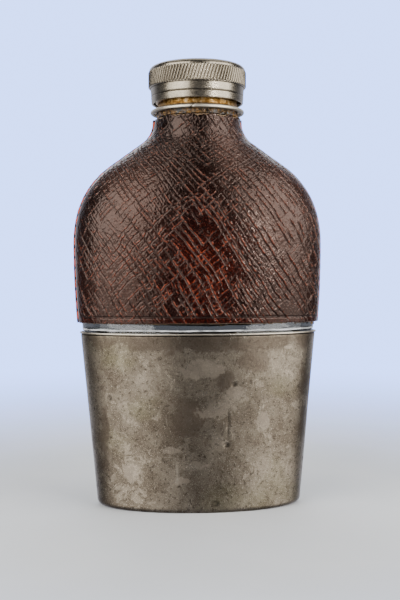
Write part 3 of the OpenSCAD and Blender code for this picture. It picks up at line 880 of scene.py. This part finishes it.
def bottle():
    foot_at = GLASS_BOTTOM + 3.0
    foot_a = cup_outside(foot_at) - CUP_T - CUP_GAP - 3.0
    foot = join(line([foot_a * 0.12, GLASS_BOTTOM + 0.9], [foot_a * 0.8, GLASS_BOTTOM + 0.35], 6),
                line([foot_a * 0.86, GLASS_BOTTOM + 0.1], [foot_a, GLASS_BOTTOM], 2),
                arc(foot_a, foot_at, 3.0, -90, 0, 10),
                line([cup_outside(8) - 0.9, 8], [cup_outside(LEDGE_Z) - 0.9, LEDGE_Z - 0.02], 12))
    outside = [[a, foot_depth(a, z) if z > foot_at else a * foot_depth(foot_a, foot_at) / foot_a, z]
               for a, z in foot[:9]]
    outside += [[a, foot_depth(a, z), z] for a, z in foot[9:]]
    ledge_a = np.interp(LEDGE_Z + 2 * LEDGE_R, skin.z, skin.a)
    ledge = arc(ledge_a - LEDGE_R, LEDGE_Z + LEDGE_R, LEDGE_R, -80, 0, 8)
    outside += [[a, a * OVAL, z] for a, z in ledge]
    outside += [[ledge_a, ledge_a * OVAL, LEDGE_Z + LEDGE_R + up] for up in (0.1, 0.2, 0.3, 0.42)]
    for s in np.linspace(skin.s[0] + 0.3, skin.length - 0.4, 90):
        a, b, z = (float(v) for v in skin.at(s)[:3])
        outside.append([a, b, z])
    neck = join(line([NECK_FOOT_R, COVER_TOP - 0.15], [NECK_FOOT_R - 0.15, COVER_TOP], 1),
                [[NECK_R, COVER_TOP]], line([NECK_R, COVER_TOP + 0.4], [NECK_R, GLASS_TOP - 0.8], 5),
                arc(NECK_R - 0.8, GLASS_TOP - 0.8, 0.8, 0, 90, 5),
                arc(BORE_R + 0.5, GLASS_TOP - 0.5, 0.5, 90, 180, 5),
                line([BORE_R, GLASS_TOP - 1], [BORE_R, 107.6], 8))
    outside += [[a, a, z] for a, z in neck]
    hollow = []
    for s in np.linspace(skin.s[0] + 1.5, skin.length, 70):
        a, b, z, da, _, dz = (float(v) for v in skin.at(s))
        w = GLASS_T / math.hypot(da, dz)
        point = [a - w * dz, b - GLASS_T, z + w * da]
        if z < NECK_FOOT_Z - 5:
            hollow.append(point)
    end = hollow[-1]
    # The hollow rounds over into the neck's bore.
    over = [[end[0] + (BORE_R - end[0]) * u, end[1] + (BORE_R - end[1]) * u, end[2] + 0.5 * u]
            for u in (1.0, 0.6)]
    inside = [[BORE_R, BORE_R, 107.3], *over] + hollow[::-1]
    floor_z = GLASS_BOTTOM + GLASS_FLOOR
    low = cup_outside(floor_z) - 0.9 - GLASS_T
    foot_in = arc(low - 4, floor_z + 4, 4, 0, -90, 8)
    inside += [[a, foot_depth(a, floor_z), z] for a, z in
               line([cup_outside(50) - 0.9 - GLASS_T, 50], [low + 0.3, floor_z + 5], 10)]
    inside += [[a, foot_depth(a, floor_z), z] for a, z in foot_in]
    inside += [[low * k, foot_depth(low, floor_z) * k, floor_z - 0.02 * i] for i, k in enumerate((0.5, 0.15))]
    points, faces = turned(oval_rings(outside + inside, 360), False)
    # The ledge's edge is painted as a white, cloudy band: glass rubbed by the cup's lip, and a painted
    # highlight.
    x, y, z = points.T
    out = (x / (ledge_a - 1)) ** 2 + (y / (ledge_a * OVAL - 1)) ** 2 > 1
    wear_and_highlight = np.exp(-((z - LEDGE_Z - 0.48 - 0.1 * noise(x / 5, y / 5, seed=106)) / 0.17) ** 2) * out
    wear_and_highlight = wear_and_highlight * np.clip(0.75 + 0.5 * noise(x / 1.8, y / 1.8, seed=107), 0, 1)
    return points, faces, {"wear_and_highlight": wear_and_highlight}


add("glass_flask", "flask", "bottle_glass", "glass_bottle", glass_material(), *bottle())


# ---- Cup ----

CUP_H, RIM_H, RIM_OUT, CORNER = 52.0, 0.7, 0.3, 2.0
LIP_Z = CUP_H - RIM_H
FLOOR_A = cup_outside(CORNER) - CORNER
MID_A = cup_outside(CUP_H / 2)
INNER_OVAL = (MID_A * OVAL - CUP_T) / (MID_A - CUP_T)
# Points round the cup.
CUP_STEPS = 420
# Small dents in the front as [x, z, radius along x, radius along z, depth], in millimetres.
DENTS = ((9.4, 37.4, 0.62, 0.62, 0.20), (7.1, 19.8, 0.75, 0.6, 0.24), (3.9, 2.9, 0.9, 0.7, 0.16),
         (-26.5, 33.0, 0.5, 0.8, 0.18), (28.7, 36.3, 1.0, 0.9, -0.16), (7.7, 26.5, 0.22, 3.4, 0.12),
         (-6.9, 12.6, 0.14, 2.6, -0.06), (-14.0, 41.0, 6.0, 7.0, 0.20), (13.0, 23.0, 7.0, 9.0, 0.18),
         (-3.0, 27.0, 9.0, 6.0, -0.10), (22.0, 14.0, 5.0, 8.0, 0.15), (-22.0, 14.0, 5.0, 7.0, -0.08))


def cup_wall():
    t = angles(CUP_STEPS)
    c = arc(FLOOR_A, CORNER, CORNER, -90, 0, 8)
    up = line([cup_outside(CORNER), CORNER], [cup_outside(LIP_Z - 0.32), LIP_Z - 0.32], 130)
    turn = [[cup_outside(LIP_Z) - 0.06, LIP_Z - 0.2], [cup_outside(LIP_Z) - 0.16, LIP_Z - 0.1],
            [cup_outside(LIP_Z) - 0.34, LIP_Z - 0.02]]
    outer = join(c, up, turn)
    inner = join(line([cup_outside(LIP_Z) - CUP_T, LIP_Z], [cup_outside(CORNER) - CUP_T, CORNER], 40),
                 arc(FLOOR_A, CORNER, CORNER - CUP_T, 0, -90, 6),
                 [[FLOOR_A - 0.05, CUP_T]], [[FLOOR_A - 0.05, 0.0]])
    rings = np.concatenate([oval(outer, OVAL, CUP_STEPS), oval(inner, INNER_OVAL, CUP_STEPS)])
    x, y, z = parts(rings)
    hold = ease((z - 1.5) / 4) * ease((LIP_Z + 1.5 - z) / 6)
    wave = 0.10 * noise(x / 13, y / 9, z / 15, seed=111) + 0.03 * noise(x / 4, y / 4, z / 5, seed=112)
    sink = wave * hold
    for cx, cz, rx, rz, depth in DENTS:
        sink = sink + depth * bump(x, z, cx, cz, rx, rz) * (y < 0) * ease((z - 0.3) / 1.5)
    # A few dents at the back as well.
    for k in range(7):
        cx, cz = (hash01(k, 0, 0, 121) - 0.5) * 48, 6 + 40 * hash01(k, 1, 0, 121)
        size = 0.6 + 2.4 * hash01(k, 2, 0, 121)
        sink = sink + 0.2 * bump(x, z, cx, cz, size, size) * (y > 0) * hold
    normal = np.stack([np.cos(t) * OVAL, np.sin(t)], -1)
    normal /= np.linalg.norm(normal, axis=1, keepdims=True)
    rings[..., :2] -= sink[..., None] * normal
    points, faces = turned(rings, True)
    # Rings round the deeper dents are painted dark: painted shade.
    pit = np.zeros(x.shape)
    for cx, cz, rx, rz, depth in DENTS[:6]:
        if depth > 0:
            ring_d = np.sqrt(((x - cx) / rx) ** 2 + ((z - cz) / rz) ** 2)
            pit = pit + 0.75 * np.exp(-((ring_d - 0.9) / 0.4) ** 2) * (y < 0)
    front = y < 0
    # A bright line painted along the raised scratch: rubbed metal and a painted highlight.
    wear_and_highlight = 0.6 * bump(x, z, -6.9, 12.6, 0.2, 2.6) * front
    # The wall's top, under the wire, gets painted shade.
    pit = np.maximum(pit, step(LIP_Z - 0.28, LIP_Z - 0.12, z))
    at = lambda *spots: np.maximum.reduce([bump(x, z, *spot) for spot in spots]) * front
    dull_and_shade = at((-4, 28, 5, 7), (0, 49.5, 40, 3.0), (7, 38, 3, 4), (16, 44, 5, 4))
    # Strips down the cup's left and right edges are painted dark: painted shade.
    dull_and_shade = dull_and_shade + 0.6 * at((-28, 22, 2, 16), (31, 30, 2, 16))
    flake = 0.95 * at((-1, 42, 9, 3.6), (5, 31, 6, 3.5), (-8, 18.4, 3.8, 1.1), (-2.5, 14, 5, 2.2),
                      (-6, 9.5, 3.4, 1.6), (9, 34, 5, 3.5), (26, 47.5, 2.2, 0.8), (18, 26, 3, 5),
                      (-20, 12, 4, 5))
    dull_and_shade = dull_and_shade + ~front * (0.45 + 0.55 * fbm(x / 9, z / 9, seed=113))
    flake = flake + ~front * np.clip(0.8 * fbm(x / 7, z / 7, seed=114) + 0.2, 0, 1)
    marks = {"pit": pit, "wear_and_highlight": wear_and_highlight, "dull_and_shade": dull_and_shade, "flake": flake}
    return points, faces, {key: np.clip(value, 0, 1).ravel() for key, value in marks.items()}


def rim():
    """The lip's wire, with a fine groove under it. Its outside is painted bright, as rubbed metal and a
    painted highlight, and its underside and inner top edge get painted shade.
    """
    outer_a = cup_outside(LIP_Z) + RIM_OUT
    ratio = (cup_outside(LIP_Z) * OVAL + RIM_OUT) / outer_a
    inner_a = cup_outside(LIP_Z) - CUP_T
    low, high, r = LIP_Z + 0.02, CUP_H, 0.28
    outer = join([[outer_a - 0.55, low], [outer_a - 0.42, low + 0.02]],
                 arc(outer_a - r, low + r + 0.04, r, -62, 0, 5), arc(outer_a - r, high - r, r, 0, 90, 5))
    inner = join(arc(inner_a + 0.2, high - 0.2, 0.2, 90, 180, 4), [[inner_a, low]])
    rings = np.concatenate([oval(outer, ratio, CUP_STEPS), oval(inner, INNER_OVAL, CUP_STEPS)])
    x, y, z = parts(rings)
    z -= 0.05 * (0.5 + 0.5 * noise(x / 3, y / 3, seed=131)) * (z > high - 0.35)
    points, faces = turned(rings, True)

    def reach(inset):
        """Over 1 outside an oval that is inset from the wire's outside."""
        return x ** 2 / (outer_a - inset) ** 2 + y ** 2 / (outer_a * ratio - inset) ** 2

    wear_and_highlight = 0.7 * step(low + 0.2, low + 0.4, z) * (reach(0.4) > 1)
    # The wire's underside and its inner top edge get painted shade.
    rim_shade = np.maximum(1 - step(low + 0.02, low + 0.16, z),
                      step(high - 0.2, high - 0.05, z) * (reach(0.3) < 1))
    return points, faces, {"pit": rim_shade.ravel(), "wear_and_highlight": wear_and_highlight.ravel()}


def base():
    """The cup's floor: a plate that springs in a little, with its edge turned over."""
    edge = FLOOR_A - 0.07
    under = join(line([edge * 0.1, 0.14], [edge * 0.82, 0.12], 10),
                 line([edge * 0.86, 0.06], [edge * 0.9, 0.0], 2),
                 line([edge * 0.94, 0.0], [edge - 0.1, 0.0], 2), [[edge, 0.1]])
    over = join([[edge, CUP_T - 0.1]], line([edge - 0.1, CUP_T], [edge * 0.1, CUP_T], 12))
    rings = oval(join(under, over), INNER_OVAL, 180)
    x, y, z = parts(rings)
    inside = np.hypot(x / edge, y / (edge * INNER_OVAL)) < 0.84
    z += 0.06 * noise(x / 7, y / 7, seed=141) * inside * (z < 0.3)
    points, faces = turned(rings, False)
    flat = np.zeros(len(points))
    return points, faces, {"pit": flat, "wear_and_highlight": flat}


plate = cup_material()
add("cup_side", "cup", "pewter", "cup_wall", plate, *cup_wall())
add("cup_lip", "cup", "pewter", "cup_rim_wire", plate, *rim())
add("cup_floor", "cup", "pewter", "cup_base", plate, *base())


# ---- Collar ----

# Points round the collar, its wire and the cap's skirt.
ROUND = 360
COLLAR_R, COLLAR_T, COLLAR_TOP = 11.95, 0.5, 127.1
# The screw thread's rise in a turn, the ridge's widths and the turns over which it fades out.
PITCH = 3.0
RIDGE_ROOT_W, RIDGE_CREST_W, RUNOUT = 1.5, 0.5, 0.2
# Each thread's height, the level where it starts and its turns.
COLLAR_RIDGE, COLLAR_START, COLLAR_TURNS = 0.75, 119.6, 2.1
SLEEVE_RIDGE, SLEEVE_START, SLEEVE_TURNS = 0.95, 121.35, 1.6
FLARE_TOP, FLARE_END, FLARE_R = 118.9, 118.1, 12.9
LIP_R = BORE_R + 0.2


def thread_ridge(t, z, start, turns):
    """How much of the thread's height stands at angle t and height z, from 0 to 1."""
    u = (z - start) / PITCH - t / TAU
    k = np.round(u)
    along = t / TAU + k
    dz = np.abs(u - k) * PITCH
    fade = np.clip(np.minimum(along, turns - along) / RUNOUT, 0, 1)
    half_root, half_crest = RIDGE_ROOT_W / 2, RIDGE_CREST_W / 2
    shape = np.clip((half_root - dz) / (half_root - half_crest), 0, 1)
    return (shape * 0.75 + 0.25 * ease(shape)) * fade


def collar():
    t = angles(ROUND)
    flare = np.array([[FLARE_R - 0.3, FLARE_END - 0.4], [FLARE_R - 0.05, FLARE_END - 0.2],
                      [FLARE_R, FLARE_END], [FLARE_R - 0.25, FLARE_END + 0.25],
                      [COLLAR_R + 0.3, FLARE_TOP - 0.3], [COLLAR_R, FLARE_TOP + 0.1]])
    wall = line([COLLAR_R, FLARE_TOP + 0.2], [COLLAR_R, COLLAR_TOP - 0.3], 72)
    outer = join(flare, wall, arc(COLLAR_R - 0.25, COLLAR_TOP - 0.25, 0.25, 0, 90, 4),
                 line([COLLAR_R - 0.4, COLLAR_TOP], [LIP_R + 0.15, COLLAR_TOP], 6),
                 [[LIP_R, COLLAR_TOP - 0.12]])
    bore = COLLAR_R - COLLAR_T
    inner = join([[LIP_R, GLASS_TOP + 0.02]],
                 line([LIP_R + 0.3, GLASS_TOP + 0.01], [bore, GLASS_TOP + 0.01], 4),
                 line([bore, GLASS_TOP - 0.5], [bore, FLARE_TOP - 0.15], 8))
    outline = join(outer, inner)
    rings = round_rings(outline, ROUND)
    x, y, z = parts(rings)
    on = np.zeros(len(outline), bool)
    on[len(flare) - 1:len(flare) + len(wall)] = True
    lift = COLLAR_RIDGE * thread_ridge(t[None, :], z, COLLAR_START, COLLAR_TURNS) * on[:, None]
    dirt = np.where(on[:, None], 1 - lift / COLLAR_RIDGE, 0.6)
    # The sheet was rolled thin, so its thread isn't quite even.
    wear = 0.03 * (0.5 + 0.5 * noise(9 * np.cos(t), 9 * np.sin(t), z, seed=151)) * on[:, None]
    widen(rings, 1 + (lift - wear) / np.maximum(np.hypot(x, y), 1))
    points, faces = turned(rings, True)
    return points, faces, {"valley": dirt.ravel()}


def bead():
    """The wire round the collar's foot. Its two ends meet in a soldered joint at the front left."""
    t, a = angles(ROUND), angles(20)
    ring_r, wire_r, z0 = 13.55, 0.62, 117.75
    away = (t - math.radians(261) + math.pi) % TAU - math.pi
    notch = np.exp(-((away * ring_r - 0.4 * np.sin(a)[:, None]) / 0.26) ** 2)
    r = wire_r * (1 - 0.02 * (0.5 + 0.5 * noise(t * 9, 0, seed=161)))[None, :] - 0.22 * notch
    lump = 0.10 * np.exp(-((away * ring_r - 1.1) / 0.5) ** 2)[None, :] * np.clip(np.cos(a), 0, 1)[:, None]
    r = np.minimum(r + lump, wire_r)
    radius = ring_r + r * np.cos(a)[:, None]
    rings = np.stack([radius * np.cos(t), radius * np.sin(t), z0 + r * np.sin(a)[:, None]], -1)
    points, faces = turned(rings, True)
    # The joint's notch and the wire's underside are painted dark: painted shade.
    under = 0.7 * (np.sin(a) < -0.5)[:, None] * np.ones_like(r)
    return points, faces, {"valley": (notch + under).clip(0, 1).ravel()}


gold = nickel_material("tarnished collar", 1.0, 0.6, (0.38, 0.56))
wire = nickel_material("worn wire", 0.0, 0.85, (0.34, 0.52))
silver = nickel_material("nickel silver")
add("threaded_collar", "flask", "nickel", "neck_collar", gold, *collar())
add("collar_wire", "flask", "nickel", "collar_bead", wire, *bead())


# ---- Cement ----

def cement():
    """The resin in the collar. It shows as a lumpy band with gaps, between the cover and the wire."""
    r_in, r_wall = NECK_R + 0.02, COLLAR_R - COLLAR_T - 0.02
    foot, top = COVER_TOP + 0.02, GLASS_TOP - 0.02
    outline = join([[r_in, foot]], line([r_in + 0.3, foot], [12.2, foot], 6),
                   line([12.35, COVER_TOP + 0.1], [12.5, 117.4], 9), line([12.3, 117.6], [r_wall, 118.5], 6),
                   line([r_wall, 119], [r_wall, GLASS_TOP - 0.05], 6),
                   line([r_wall - 0.3, top], [r_in, top], 2),
                   line([r_in, GLASS_TOP - 1], [r_in, COVER_TOP + 0.6], 5))
    rings = round_rings(outline, 260)
    x, y, z = parts(rings)
    r = np.hypot(x, y)
    shown = (r > 12.0) & (z < 117.6)
    lump = 0.45 * fbm(x / 1.3, y / 1.3, z / 0.9, seed=171, octaves=4) - 0.12
    gap = 0.9 * step(0.25, 0.6, noise(x / 2.4, y / 2.4, z / 6, seed=172))
    widen(rings, 1 + (lump - gap) * shown / r)
    return turned(rings, True)


resin = cement_material()
add("neck_filler", "flask", "cement", "neck_cement", resin, *cement())


def blobs():
    """Bits of glue and hide left on the glass under the cover's edge, thickest at the right."""
    rows = 7
    j = angles(12)
    solids = []
    for k in range(46):
        u = hash01(k, 0, 0, 181)
        right = k % 3 != 0
        t = math.radians(270 + (86 - 60 * u * u if right else -86 + 165 * u))
        size = (0.16 + 0.30 * hash01(k, 1, 0, 181)) * (1.0 if right and u < 0.5 else 0.62)
        s = -0.05 - (0.9 if right and u < 0.45 else 0.35) * hash01(k, 2, 0, 181)
        mid = skin.place(np.array(s), np.array(t), np.array(0.06))
        out = skin.place(np.array(s), np.array(t), np.array(1.06)) - mid
        side = np.cross([0, 0, 1.0], out)
        side /= np.linalg.norm(side)
        up = np.cross(out, side)
        rings = []
        for i in range(rows):
            lat = math.pi * (i + 0.6) / (rows + 0.2) - math.pi / 2
            rough = noise(np.cos(j) * 1.7 + k * 5, np.sin(j) * 1.7, i * 0.4, seed=182)
            wide = size * math.cos(lat) * (1 + 0.35 * rough)
            rings.append(mid + np.outer(wide * np.cos(j) * 1.5, side) + np.outer(wide * np.sin(j), up)
                         + np.outer(np.full(12, 0.42 * size * math.sin(lat)), out))
        solids.append(turned(np.array(rings), False))
    return gather(solids)


add("glue_remains", "flask", "cement", None, resin, *blobs())


# ---- Cork and cap ----

CORK_BOTTOM, CORK_T, CORK_R = 127.12, 2.6, 13.0
SLEEVE_TOP, SLEEVE_BOTTOM, SLEEVE_R, SLEEVE_FOOT_R, SLEEVE_BORE = 130.16, 120.3, 14.15, 13.85, 13.2
KNURL_Z, KNURL_H, KNURL_R, KNURL_DEPTH, KNURLS, KNURL_LEAN = 125.0, 5.1, 14.8, 0.25, 96, math.radians(6.3)
GROOVE_Z, GROOVE_D, CEILING, TOP_Z = 122.5, 0.25, 130.18, 132.2


def cork():
    """A disc with small nicks in its side."""
    z0, z1, r = CORK_BOTTOM, CORK_BOTTOM + CORK_T, CORK_R
    under = join(line([0.8, z0], [7.5, z0], 6), line([7.8, z0], [12.0, z0], 5),
                 arc(r - 0.3, z0 + 0.3, 0.3, -90, 0, 4))
    over = join(arc(r - 0.3, z1 - 0.3, 0.3, 0, 90, 4), line([r - 0.8, z1], [0.8, z1], 6))
    rings = round_rings(join(under, line([r, z0 + 0.5], [r, z1 - 0.5], 5), over), 120)
    x, y, z = parts(rings)
    nick = 0.10 * np.clip(fbm(x / 0.9, y / 0.9, z / 0.9, seed=191), 0, 1)
    widen(rings, 1 - nick / np.maximum(np.hypot(x, y), 1))
    return turned(rings, False)


def sleeve():
    """The cap's skirt, with a groove round it and the thread's ridge inside."""
    t = angles(ROUND)
    flare = (SLEEVE_R - SLEEVE_FOOT_R) / (KNURL_Z - SLEEVE_BOTTOM)
    groove_r = SLEEVE_FOOT_R + flare * (GROOVE_Z - SLEEVE_BOTTOM)
    outer = join(arc(SLEEVE_FOOT_R - 0.22, SLEEVE_BOTTOM + 0.22, 0.22, -90, 0, 5),
                 line([SLEEVE_FOOT_R + 0.02, SLEEVE_BOTTOM + 0.5], [groove_r, GROOVE_Z - 0.22], 8),
                 [[groove_r - 0.14, GROOVE_Z - 0.1], [groove_r - GROOVE_D, GROOVE_Z],
                  [groove_r - 0.14, GROOVE_Z + 0.1]],
                 line([groove_r, GROOVE_Z + 0.22], [SLEEVE_R, KNURL_Z], 10),
                 line([SLEEVE_R, KNURL_Z + 0.5], [SLEEVE_R, SLEEVE_TOP], 3))
    inner = join([[SLEEVE_BORE, SLEEVE_TOP]],
                 line([SLEEVE_BORE, 127.2], [SLEEVE_BORE, SLEEVE_BOTTOM + 0.25], 66),
                 [[SLEEVE_BORE + 0.1, SLEEVE_BOTTOM + 0.06], [SLEEVE_BORE + 0.22, SLEEVE_BOTTOM]])
    outline = join(outer, inner)
    rings = round_rings(outline, ROUND)
    x, y, z = parts(rings)
    on = np.zeros(len(outline), bool)
    on[len(outer) + 1:-2] = True
    drop = SLEEVE_RIDGE * thread_ridge(t[None, :], z, SLEEVE_START, SLEEVE_TURNS) * on[:, None]
    r = np.hypot(x, y)
    wobble = np.where(on[:, None], 0, 0.012 * noise(np.cos(t) * 7, np.sin(t) * 7, z / 2, seed=201))
    widen(rings, (r - drop - np.abs(wobble)) / r)
    points, faces = turned(rings, True)
    # The thread inside, the groove and the corner under the knurled band are painted dark: painted shade.
    valley = np.zeros(r.shape)
    valley[on] = 0.8
    valley = np.maximum(valley, np.exp(-((z - GROOVE_Z) / 0.14) ** 2) * ~on[:, None])
    valley = np.maximum(valley, 0.9 * step(KNURL_Z - 0.3, KNURL_Z, z) * ~on[:, None])
    return points, faces, {"valley": valley.ravel()}


def crown():
    """The cap's top: a knurled band, a rounded shoulder and a low dome."""
    n = KNURLS * 10
    t = angles(n)
    side = KNURL_R - KNURL_DEPTH
    shoulder_r, rise = 2.1, 0.75
    shoulder_z = KNURL_Z + KNURL_H
    a = np.radians(np.linspace(0, 80, 10))
    shoulder = np.stack([side - shoulder_r + shoulder_r * np.cos(a),
                         shoulder_z + shoulder_r * np.sin(a) * rise], -1)
    edge_r, edge_z = shoulder[-1]
    u = np.linspace(0, 0.97, 14)
    dome = np.stack([edge_r * (1 - u), edge_z + (TOP_Z - edge_z) * (1 - (1 - u) ** 2)], -1)
    band_z = np.concatenate([[0.15, 0.2, 0.28, 0.4], np.linspace(0.6, KNURL_H - 0.7, 18),
                             KNURL_H - np.array([0.5, 0.38, 0.26, 0.15])])
    recess_r = SLEEVE_R + 0.02
    under = join(line([1.0, CEILING], [recess_r, CEILING], 3),
                 line([recess_r, CEILING - 0.5], [recess_r, KNURL_Z], 3),
                 [[side - 0.12, KNURL_Z], [side, KNURL_Z + 0.1]])
    outline = join(under, np.stack([np.full(len(band_z), side + 0.01), KNURL_Z + band_z], -1), shoulder, dome)
    rings = round_rings(outline, n)
    x, y, z = parts(rings)
    on = np.zeros(len(outline), bool)
    on[len(under):len(under) + len(band_z)] = True
    lean = (t[None, :] - KNURL_LEAN * (z - KNURL_Z) / KNURL_H) / TAU * KNURLS
    phase = lean - np.floor(lean)
    which = np.floor(lean) % KNURLS
    ridge = (0.5 - 0.5 * np.cos(TAU * phase)) ** 1.3
    fade = step(0.13, 0.4, z - KNURL_Z) * (1 - step(KNURL_H - 0.42, KNURL_H - 0.14, z - KNURL_Z))
    wear = 0.86 + 0.14 * hash01(which, 0, 0, 211) - 0.08 * np.clip(noise(which / 3.0, z / 2, seed=212), 0, 1)
    lift = KNURL_DEPTH * ridge * fade * wear * on[:, None]
    r = np.hypot(x, y)
    ding = 0.03 * np.clip(noise(x / 1.5, y / 1.5, z / 1.5, seed=213), 0, 1) * (r > 12)
    widen(rings, (r + lift - ding * (z > KNURL_Z + 0.3)) / r)
    z -= 0.03 * (0.5 + 0.5 * noise(x / 4, y / 4, seed=214)) * (z > edge_z)
    points, faces = turned(rings, False)
    # The knurl's grooves and the rounded shoulder above the band are painted dark: painted shade.
    valley = (1 - ridge) * fade * on[:, None] + 0.45 * step(shoulder_z - 0.1, shoulder_z + 0.3, z) * (r > 10)
    valley = np.concatenate([valley.ravel(), [0.5, 0]])
    return points, faces, {"valley": valley}


add("cork_disc", "cork", "cork", "cork_seal", cork_material(), *cork())
add("cap_skirt", "cap", "nickel", "cap_sleeve", silver, *sleeve())
add("cap_top", "cap", "nickel", "cap_crown", silver, *crown())
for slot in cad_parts["cap_seal_plate"].material_slots:
    slot.material = silver


# ---- Floor, lights and camera ----

def floor():
    """A pale floor, round and flat."""
    rings = round_rings([[r, 0.0] for r in (0.5, 60, 150, 400, 900, 2000, 6000)], 96)
    m, n, _ = rings.shape
    points = np.vstack([rings.reshape(-1, 3), [[0, 0, 0]]])
    j = np.arange(n)
    return points, [ring_faces(m, n), np.stack([j, (j + 1) % n, np.full(n, m * n)], -1)[:, ::-1]]


ground = make("floor", *floor(), floor_material(), closed=False)
# The floor is for the eye: the lights that stand beside it reach below its level.
ground.visible_glossy = ground.visible_diffuse = ground.visible_transmission = ground.visible_shadow = False


# What the lights are aimed at, about half way up the flask.
AIM = Vector((0, 0, 0.07))


def softbox(name, azimuth, height, distance, size, power, color):
    """A soft light at an azimuth round the flask, 0 being the camera's side, aimed at the flask."""
    lamp = bpy.data.lights.new(name, "AREA")
    lamp.shape, lamp.size, lamp.size_y = "RECTANGLE", size[0], size[1]
    lamp.energy, lamp.color = power, color
    ob = bpy.data.objects.new(name, lamp)
    a = math.radians(azimuth)
    ob.location = (distance * math.sin(a), -distance * math.cos(a), height)
    ob.rotation_euler = (AIM - ob.location).to_track_quat("-Z", "Y").to_euler()
    bpy.context.scene.collection.objects.link(ob)


for word, azimuth in (("left", -50), ("right", 58)):
    softbox(f"{word} light", azimuth, 0.40, 0.8, (0.87, 0.66), 10.0, (1.0, 0.985, 0.96))
    softbox(f"{word} low light", azimuth, -0.26, 0.8, (0.87, 0.60), 3.1, (1.0, 0.98, 0.95))
softbox("glint", 38, 0.17, 0.8, (0.05, 0.05), 0.9, (1.0, 0.99, 0.97))
softbox("top light", 165, 0.95, 0.22, (1.1, 0.8), 5.0, (0.97, 0.985, 1.0))
softbox("back light", 180, 0.9, 1.3, (1.6, 0.8), 6.0, (0.96, 0.98, 1.0))


def studio():
    """A pale surround to look at, and a dim room with a pale wall behind the flask as light."""
    world = bpy.data.worlds.new("studio")
    bpy.context.scene.world = world
    world.use_nodes = True
    tree = world.node_tree
    tree.nodes.clear()
    new = tree.nodes.new
    out, seen, light, pick = (new("ShaderNodeOutputWorld"), new("ShaderNodeBackground"),
                              new("ShaderNodeBackground"), new("ShaderNodeMixShader"))
    seen.inputs[0].default_value = (*BACKDROP, 1)
    seen.inputs[1].default_value = BACKDROP_GLOW
    # The wall shades in as the direction turns towards the back.
    coords, split, wall = new("ShaderNodeTexCoord"), new("ShaderNodeSeparateXYZ"), new("ShaderNodeMapRange")
    wall.interpolation_type = "SMOOTHSTEP"
    for index, value in ((1, 0.40), (2, 0.80), (4, 1.1)):
        wall.inputs[index].default_value = value
    # The room in front is dark at the flask's own height and a little lighter above and below.
    height, room = new("ShaderNodeMapRange"), new("ShaderNodeValToRGB")
    height.inputs[1].default_value = -1.0
    stops = room.color_ramp.elements
    for _ in range(6):
        stops.new(0.5)
    glows = ((-1, 0.20), (-0.22, 0.20), (-0.10, 0.03), (0.10, 0.03), (0.15, 0.20), (0.27, 0.20),
             (0.34, 0.03), (1, 0.10))
    for stop, (z, glow) in zip(stops, glows):
        stop.position, stop.color = (z + 1) / 2, (glow, glow, glow, 1)
    light.inputs[0].default_value = (0.80, 0.84, 1.0, 1)
    # Rays through the glass see an even, dim surround.
    path, through = new("ShaderNodeLightPath"), new("ShaderNodeMix")
    through.inputs[3].default_value = 0.2
    for source, target in (
            (coords.outputs["Generated"], split.inputs[0]), (split.outputs["Y"], wall.inputs[0]),
            (split.outputs["Z"], height.inputs[0]), (height.outputs[0], room.inputs[0]),
            (room.outputs[0], wall.inputs[3]),
            (path.outputs["Is Transmission Ray"], through.inputs[0]),
            (wall.outputs[0], through.inputs[2]), (through.outputs[0], light.inputs[1]),
            (path.outputs["Is Camera Ray"], pick.inputs[0]), (light.outputs[0], pick.inputs[1]),
            (seen.outputs[0], pick.inputs[2]), (pick.outputs[0], out.inputs[0])):
        tree.links.new(source, target)


studio()

CAMERA_AZ, CAMERA_D, CAMERA_Z, LENS, ROLL = -2.75, 0.288, 0.070, 57.0, 0.28
camera = bpy.data.objects.new("camera", bpy.data.cameras.new("camera"))
camera.data.lens, camera.data.sensor_width = LENS, 36.0
camera.data.shift_x, camera.data.shift_y = 0.0032, -0.0487
camera.data.clip_start, camera.data.clip_end = 0.01, 20.0
az = math.radians(CAMERA_AZ)
camera.matrix_world = (Matrix.Translation((CAMERA_D * math.sin(az), -CAMERA_D * math.cos(az), CAMERA_Z))
                       @ Matrix.Rotation(az, 4, "Z") @ Matrix.Rotation(math.pi / 2, 4, "X")
                       @ Matrix.Rotation(math.radians(-ROLL), 4, "Z"))
bpy.context.scene.collection.objects.link(camera)
bpy.context.scene.camera = camera
